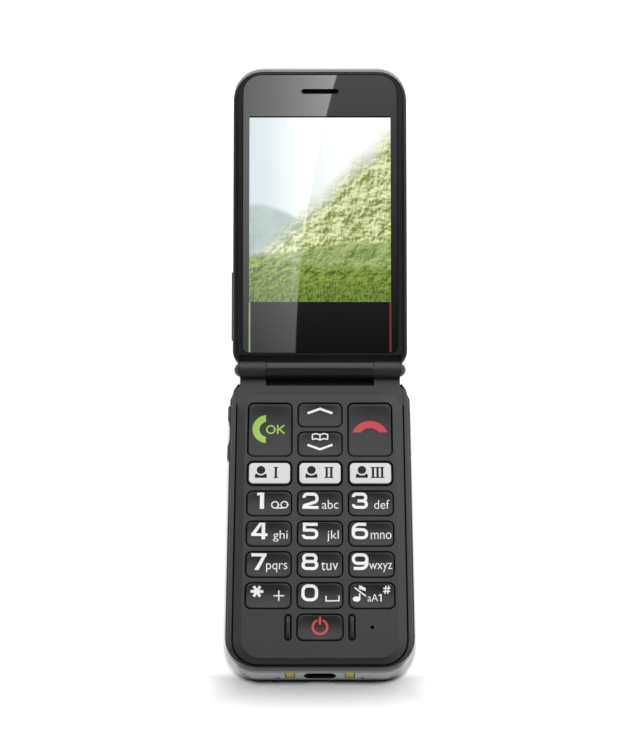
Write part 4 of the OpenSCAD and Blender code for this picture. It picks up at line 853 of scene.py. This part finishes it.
# Layers from the far hill to the near meadow: the colours in shade and sun; the ridge's height, its swing,
# its rise to the right, its waves, where they start and its blur, as shares of the picture; then the size
# of its leaves in mm and how strongly the sun picks them out.
layers = (("#9cb0ac", "#b3c3bf", 0.45, 0.09, -0.16, 2.3, 7.7, 0.02, 9, 0.6),
          ("#70852f", "#e6ebb4", 0.55, 0.08, 0.74, 1.6, 3.1, 0.10, 4, 2.6),
          ("#5d7830", "#b2c27e", 0.29, 0.06, 0.08, 1.9, 1.3, 0.015, 3, 1.6),
          ("#38540f", "#9fb64c", 0.20, 0.05, -0.05, 2.6, 5.2, 0.02, 2.2, 2.6))
SUN_X, SUN_S = -0.1, 0.14
for shade, sun, level, swing, rise, waves, start, blur, leaf, relief in layers:
    along = add(tree, "ShaderNodeCombineXYZ", {1: start}, {0: across})
    ridge = add(tree, "ShaderNodeTexNoise", {"Scale": waves, "Detail": 2, "Roughness": 0.4},
                {"Vector": along})
    mean = level - rise/2
    top = add(tree, "ShaderNodeMapRange", {"To Min": mean - swing, "To Max": mean + swing}, {"Value": ridge})
    top = add(tree, "ShaderNodeMath", {"operation": "MULTIPLY_ADD", 1: rise},
              {0: across, 2: top})
    heights = []
    for shift in ((SUN_X*leaf, SUN_S*leaf, start), (0, 0, start)):
        moved = add(tree, "ShaderNodeMapping", {"Location": shift}, {"Vector": spin})
        heights.append(add(tree, "ShaderNodeTexNoise", {"Scale": 1/leaf, "Detail": 7, "Roughness": 0.66},
                           {"Vector": moved}).outputs[0])
    there, here = heights
    slope = add(tree, "ShaderNodeMath", {"operation": "SUBTRACT"}, {0: here, 1: there})
    sunlit = add(tree, "ShaderNodeMath", {"operation": "MULTIPLY_ADD", 1: relief}, {0: slope, 2: here})
    rim = add(tree, "ShaderNodeMath", {"operation": "MULTIPLY_ADD", 1: 2*blur}, {0: here, 2: top})
    under = add(tree, "ShaderNodeMath", {"operation": "SUBTRACT"}, {0: rim, 1: up})
    cover = add(tree, "ShaderNodeMapRange", {"From Max": 2*blur, "interpolation_type": "SMOOTHSTEP"},
                {"Value": under})
    leaves = add(tree, "ShaderNodeValToRGB", {"ramp": ((0.25, shade), (0.75, sun))}, {"Fac": sunlit})
    mix = add(tree, "ShaderNodeMix", {"data_type": "RGBA"}, {0: cover, 6: scenery, 7: leaves})
    scenery = mix.outputs[2]
# Grass stands over the lowest part of the meadow, in blades that are longer than wide.
BLADE_W, BLADE_L, BLADE_DEEP = 0.505, 1.3, 0.4545
GRASS_FROM, GRASS_FULL, GRASS_SHARE = 0.2, 0.02, 0.75
stems = add(tree, "ShaderNodeMapping", {"Scale": (1/BLADE_W, 1/BLADE_L, 1/BLADE_DEEP)}, {"Vector": spin})
grass = add(tree, "ShaderNodeTexNoise", {"Scale": 1.0, "Detail": 4}, {"Vector": stems})
blades = add(tree, "ShaderNodeValToRGB", {"ramp": ((0.35, "#26400c"), (0.7, "#86a33f"))},
             {"Fac": grass})
foot = add(tree, "ShaderNodeMapRange", {
    "From Min": GRASS_FROM, "From Max": GRASS_FULL, "To Max": GRASS_SHARE}, {"Value": up})
mix = add(tree, "ShaderNodeMix", {"data_type": "RGBA"}, {0: foot, 6: scenery, 7: blades})
tree.links.new(mix.outputs[2], shader.inputs["Emission Color"])
inside = all_of(tree, *box_tests(local, PICTURE), (local["Z"], "GREATER_THAN", LENS_TOP - LENS_SKIN))
tree.links.new(inside, shader.inputs["Emission Strength"])
dress("display_lens", acrylic, edge=0.12)
dress("display_module", resin)


# Prints on the lens: two thin accent lines below the window, and above it a black line that paints the shadow
# inside the window's top edge. The accent lines are screen-printed in matt ink; all three stand 0.02 mm
# proud.
PRINT_T, LINE_IN, LINE_OUT, LINE_START, LINE_END, SHADOW_LINE_H = 0.02, 21.3, 21.85, 5.5, 20.8, 0.45
pale_green = printing_ink("pale_green_ink", "#98ae80", "#a2b78a")
deep_red = printing_ink("deep_red_ink", "#7c2b33", "#853138")
# Painted shadow: near-black ink with almost no gleam.
shadow_line_ink = printing_ink("painted_shadow_ink", "#050505", "#080808", 0.1)
BOX_SIDES = [(0, 3, 2, 1), (4, 5, 6, 7), (0, 1, 5, 4), (1, 2, 6, 5), (2, 3, 7, 6), (3, 0, 4, 7)]
for name, x0, s0, x1, s1, ink in (
        ("accent_line_green", -LINE_OUT, LINE_START, -LINE_IN, LINE_END, pale_green),
        ("accent_line_red", LINE_IN, LINE_START, LINE_OUT, LINE_END, deep_red),
        ("window_shadow_line", PICTURE[0], PICTURE[3], PICTURE[2], PICTURE[3] + SHADOW_LINE_H, shadow_line_ink)):
    points = [on_lid(x, s, LENS_TOP + z) for z in (-PRINT_T, PRINT_T)
              for x, s in ((x0, s0), (x1, s0), (x1, s1), (x0, s1))]
    strip = piece_of(name, points, BOX_SIDES, ink)
    strip.data.shade_flat()
    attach(strip, "lid")


# Outer side of the display half: a glossy black window over a small display and the camera.
# It is an acrylic plate bonded into a shallow pocket of the silver cover; a printed ring marks the camera.
OUTER, CAMERA_S, LENS_R, RING_IN, RING_OUT, RING_STEPS = (-11, 50.5, 11, 67.5), 75.5, 2.4, 2.75, 3.35, 72
HAZE = 11.1

# Smoked acrylic: nearly black and glossy; the sleeping display shows a shade lighter, the camera darker.
smoked, tree, shader = material("smoked_acrylic", {"Roughness": 0.06, "IOR": 1.49})
spin, local = lid_place(tree)
haze = add(tree, "ShaderNodeTexNoise", {"Scale": 1/HAZE, "Detail": 2}, {"Vector": spin})
tint = add(tree, "ShaderNodeValToRGB", {"ramp": ((0, "#0c0d0f"), (1, "#131417"))}, {"Fac": haze})
asleep = add(tree, "ShaderNodeMix", {"data_type": "RGBA", 7: linear("#1f2329")},
             {0: all_of(tree, *box_tests(local, OUTER)), 6: tint})
offset = add(tree, "ShaderNodeVectorMath", {"operation": "SUBTRACT", 1: (0, CAMERA_S, 0)}, {0: spin})
flat = add(tree, "ShaderNodeVectorMath", {"operation": "MULTIPLY", 1: (1, 1, 0)}, {0: offset})
away = add(tree, "ShaderNodeVectorMath", {"operation": "LENGTH"}, {0: flat})
eye = add(tree, "ShaderNodeMix", {"data_type": "RGBA", 7: linear("#05060c")},
          {0: all_of(tree, (away.outputs["Value"], "LESS_THAN", LENS_R)), 6: asleep.outputs[2]})
tree.links.new(eye.outputs[2], shader.inputs["Base Color"])
window = dress("outer_window", smoked, edge=0.1)
WINDOW_Z = min(math.cos(TILT)*(v.co.z*1000 - HINGE_Z) - math.sin(TILT)*(v.co.y*1000 - HINGE_Y)
               for v in window.data.vertices)
turns = [math.tau*k/RING_STEPS for k in range(RING_STEPS)]
lines = []
for radius, z in ((RING_IN, -PRINT_T), (RING_OUT, -PRINT_T), (RING_OUT, PRINT_T), (RING_IN, PRINT_T)):
    lines.append([on_lid(radius*math.cos(a), CAMERA_S + radius*math.sin(a), WINDOW_Z + z) for a in turns])
trim("camera_ring", lines, printing_ink("grey_ink", "#6d7074", "#777a7e"), "lid")


# Floor: a wide sheet of white studio paper that fills the view.
# It keeps the phone's real shadow in front of the free end. Close under the phone its colour is painted black
# by ambient occlusion, a painted contact shadow.
# All round that patch, what is seen of the sheet is lifted to plain white.
FLOOR_HALF, FLOOR_Z, LIFT_FULL = 3000, -0.02, 0.5
END_Y, BEHIND, BEFORE_START, BEFORE, ASIDE_START, ASIDE = HINGE_Y - 94, 3.5, 1, 15, 22, 45
FAR_START, FAR = 250, 900
PAINTED_SHADE_REACH, PAINTED_SHADE_BLACK, PAINTED_SHADE_CLEAR, FIBRE = 4, 0.62, 0.75, 1.67

# Studio paper: bright white and quite matt, with the faint clouds of its fibres.
paper, tree, shader = material("white_studio_paper", {
    "Roughness": 0.9, "Specular IOR Level": 0.1, "Emission Color": (1, 1, 1, 1)})
place = add(tree, "ShaderNodeTexCoord").outputs["Object"]
fibre = add(tree, "ShaderNodeTexNoise", {"Scale": 1000/FIBRE, "Detail": 3}, {"Vector": place})
tint = add(tree, "ShaderNodeValToRGB", {"ramp": ((0, "#f2f2f3"), (1, "#f8f8f9"))}, {"Fac": fibre})
# Painted contact shadow: ambient occlusion over the last few mm fades the paper's colour to black close under
# the phone.
painted_shade_occlusion = add(tree, "ShaderNodeAmbientOcclusion", {"samples": 16, "Distance": PAINTED_SHADE_REACH/1000},
              {"Color": tint})
unshaded_share = add(tree, "ShaderNodeMapRange", {
    "From Min": PAINTED_SHADE_BLACK, "From Max": PAINTED_SHADE_CLEAR, "interpolation_type": "SMOOTHSTEP"},
    {"Value": painted_shade_occlusion.outputs["AO"]})
contact = add(tree, "ShaderNodeMix", {"data_type": "RGBA", 6: (0, 0, 0, 1)},
              {0: unshaded_share, 7: tint})
tree.links.new(contact.outputs[2], shader.inputs["Base Color"])
spot = add(tree, "ShaderNodeSeparateXYZ", (), {0: place}).outputs
width = add(tree, "ShaderNodeMath", {"operation": "ABSOLUTE"}, {0: spot["X"]})
lift = None
for value, start, full in ((spot["Y"], END_Y, END_Y + BEHIND),
                           (spot["Y"], END_Y - BEFORE_START, END_Y - BEFORE), (width, ASIDE_START, ASIDE)):
    clear = add(tree, "ShaderNodeMapRange", {
        "From Min": start/1000, "From Max": full/1000, "To Max": LIFT_FULL,
        "interpolation_type": "SMOOTHSTEP"}, {"Value": value})
    lift = clear if lift is None else add(
        tree, "ShaderNodeMath", {"operation": "MAXIMUM"}, {0: lift, 1: clear})
reach = add(tree, "ShaderNodeVectorMath", {"operation": "LENGTH"}, {0: place})
far = add(tree, "ShaderNodeMapRange", {"From Min": FAR_START/1000, "From Max": FAR/1000, "To Max": LIFT_FULL},
          {"Value": reach.outputs["Value"]})
lift = add(tree, "ShaderNodeMath", {"operation": "ADD"}, {0: lift, 1: far})
path = add(tree, "ShaderNodeLightPath").outputs
seen = path["Is Camera Ray"]
for ray in ("Is Glossy Ray", "Is Transmission Ray"):
    seen = add(tree, "ShaderNodeMath", {"operation": "MAXIMUM"}, {0: seen, 1: path[ray]})
add(tree, "ShaderNodeMath", {"operation": "MULTIPLY"}, {0: seen, 1: lift},
    shader.inputs["Emission Strength"])
corners = [(x*FLOOR_HALF, y*FLOOR_HALF, FLOOR_Z) for x, y in ((-1, -1), (1, -1), (1, 1), (-1, 1))]
floor = piece_of("studio_floor", corners, [(0, 1, 2, 3)], paper)


# Light: four soft panels round the table, the largest behind the phone, and a dim room.
# They stand low enough to leave the dishes' upper slopes dark.
PANEL_AWAY = 900
# Each panel's lean from the zenith and its compass turn from +Y in degrees, width, height and radiance.
panels = {"back_panel": (35, 12, 1260, 980, 1.62), "low_back_panel": (72, 0, 1900, 350, 1.5),
          "right_panel": (62, 90, 1100, 520, 1.8), "left_panel": (66, 270, 1100, 200, 2.4)}
for name, (lean, turn, width, height, radiance) in panels.items():
    light = bpy.data.lights.new(name, "AREA")
    light.shape, light.size, light.size_y = "RECTANGLE", width/1000, height/1000
    light.energy = radiance*math.pi*light.size*light.size_y
    lamp = bpy.data.objects.new(name, light)
    a, b = math.radians(lean), math.radians(turn)
    towards = Vector((math.sin(a)*math.sin(b), math.sin(a)*math.cos(b), math.cos(a)))
    lamp.location = towards*PANEL_AWAY/1000
    lamp.rotation_euler = (-lamp.location).to_track_quat("-Z", "Y").to_euler()
    lamp.visible_camera = False
    bpy.context.scene.collection.objects.link(lamp)

ROOM_LIGHT, ROOM_SEEN = 0.32, 1
world = bpy.data.worlds.new("dim_room")
bpy.context.scene.world = world
world.use_nodes = True
room = world.node_tree.nodes["Background"]
room.inputs["Color"].default_value = (1, 1, 1, 1)
path = add(world.node_tree, "ShaderNodeLightPath").outputs
add(world.node_tree, "ShaderNodeMapRange", {"To Min": ROOM_LIGHT, "To Max": ROOM_SEEN},
    {"Value": path["Is Camera Ray"]}, room.inputs["Strength"])


# Reflection cards: two lit sheets high over the display, flagged so that only its lens shows them.
# Their shared curved edge gives the lens its bright left part; the left one fades away from that edge.
CARD_Z, CARD_NEAR, CARD_FAR, CARD_STEPS = 520, -160, 50, 16
EDGE_AT, EDGE_LEAN, EDGE_BEND = 1.75, 0.226, 0.00077
LEFT_REACH, LEFT_GLOW, LEFT_FADE, LEFT_LOW, LEFT_RISE = -110, 7, 55, 0.13, 1.2
RIGHT_REACH, RIGHT_GLOW, RIGHT_POWER = 80, 2.0, 1.6
lens_only = bpy.data.collections.new("lens_only")
lens_only.objects.link(frame["nodes"]["display_lens"])

# A diffuser sheet lit from behind: it has no colour of its own, and its glow is set point by point.
lit, tree, shader = material("lit_diffuser_sheet", {
    "Base Color": (0, 0, 0, 1), "Emission Color": (1, 1, 1, 1)})
glow = add(tree, "ShaderNodeAttribute", {"attribute_name": "glow"})
tree.links.new(glow.outputs["Fac"], shader.inputs["Emission Strength"])


def card(name, reach, glow):
    """A sheet on one side of the curved edge; its glow goes by the way off the edge and up its length."""
    points, light = [], []
    for i in range(CARD_STEPS + 1):
        for j in range(CARD_STEPS + 1):
            share = j/CARD_STEPS
            t = CARD_NEAR + (CARD_FAR - CARD_NEAR)*share
            off = reach*i/CARD_STEPS
            points.append((EDGE_AT + EDGE_LEAN*t + EDGE_BEND*t*t + off, HINGE_Y + t, CARD_Z))
            light.append(glow(off, share))
    row = CARD_STEPS + 1
    quads = [(i*row + j, (i + 1)*row + j, (i + 1)*row + j + 1, i*row + j + 1)
             for i in range(CARD_STEPS) for j in range(CARD_STEPS)]
    sheet = piece_of(name, points, quads, lit)
    sheet.data.attributes.new("glow", "FLOAT", "POINT").data.foreach_set("value", light)
    sheet.visible_camera = sheet.visible_diffuse = sheet.visible_shadow = False
    sheet.light_linking.receiver_collection = lens_only


card("left_card", LEFT_REACH, lambda off, up: LEFT_GLOW*math.exp(off/LEFT_FADE)*(LEFT_LOW + LEFT_RISE*up))
card("right_card", RIGHT_REACH, lambda off, up: RIGHT_GLOW*up**RIGHT_POWER)


# Camera: a long lens over the keypad half, looking down at 66 degrees.
# The hinge lies just above the middle of the 640 by 747 frame.
CAMERA_LEAN, CAMERA_AWAY, AIM_BELOW = math.radians(24.15), 559, 1.07
camera = bpy.data.cameras.new("camera")
camera.lens, camera.sensor_width, camera.sensor_fit = 88.2, 36, "AUTO"
camera.clip_start, camera.clip_end = 0.01, 20
viewer = bpy.data.objects.new("camera", camera)
aim = Vector((0, HINGE_Y, HINGE_Z)) - Vector((0, math.cos(CAMERA_LEAN), math.sin(CAMERA_LEAN)))*AIM_BELOW
viewer.location = (aim + Vector((0, -math.sin(CAMERA_LEAN), math.cos(CAMERA_LEAN)))*CAMERA_AWAY)/1000
viewer.rotation_euler = (CAMERA_LEAN, 0, 0)
bpy.context.scene.collection.objects.link(viewer)
bpy.context.scene.camera = viewer
bpy.context.scene.view_settings.view_transform = "Standard"
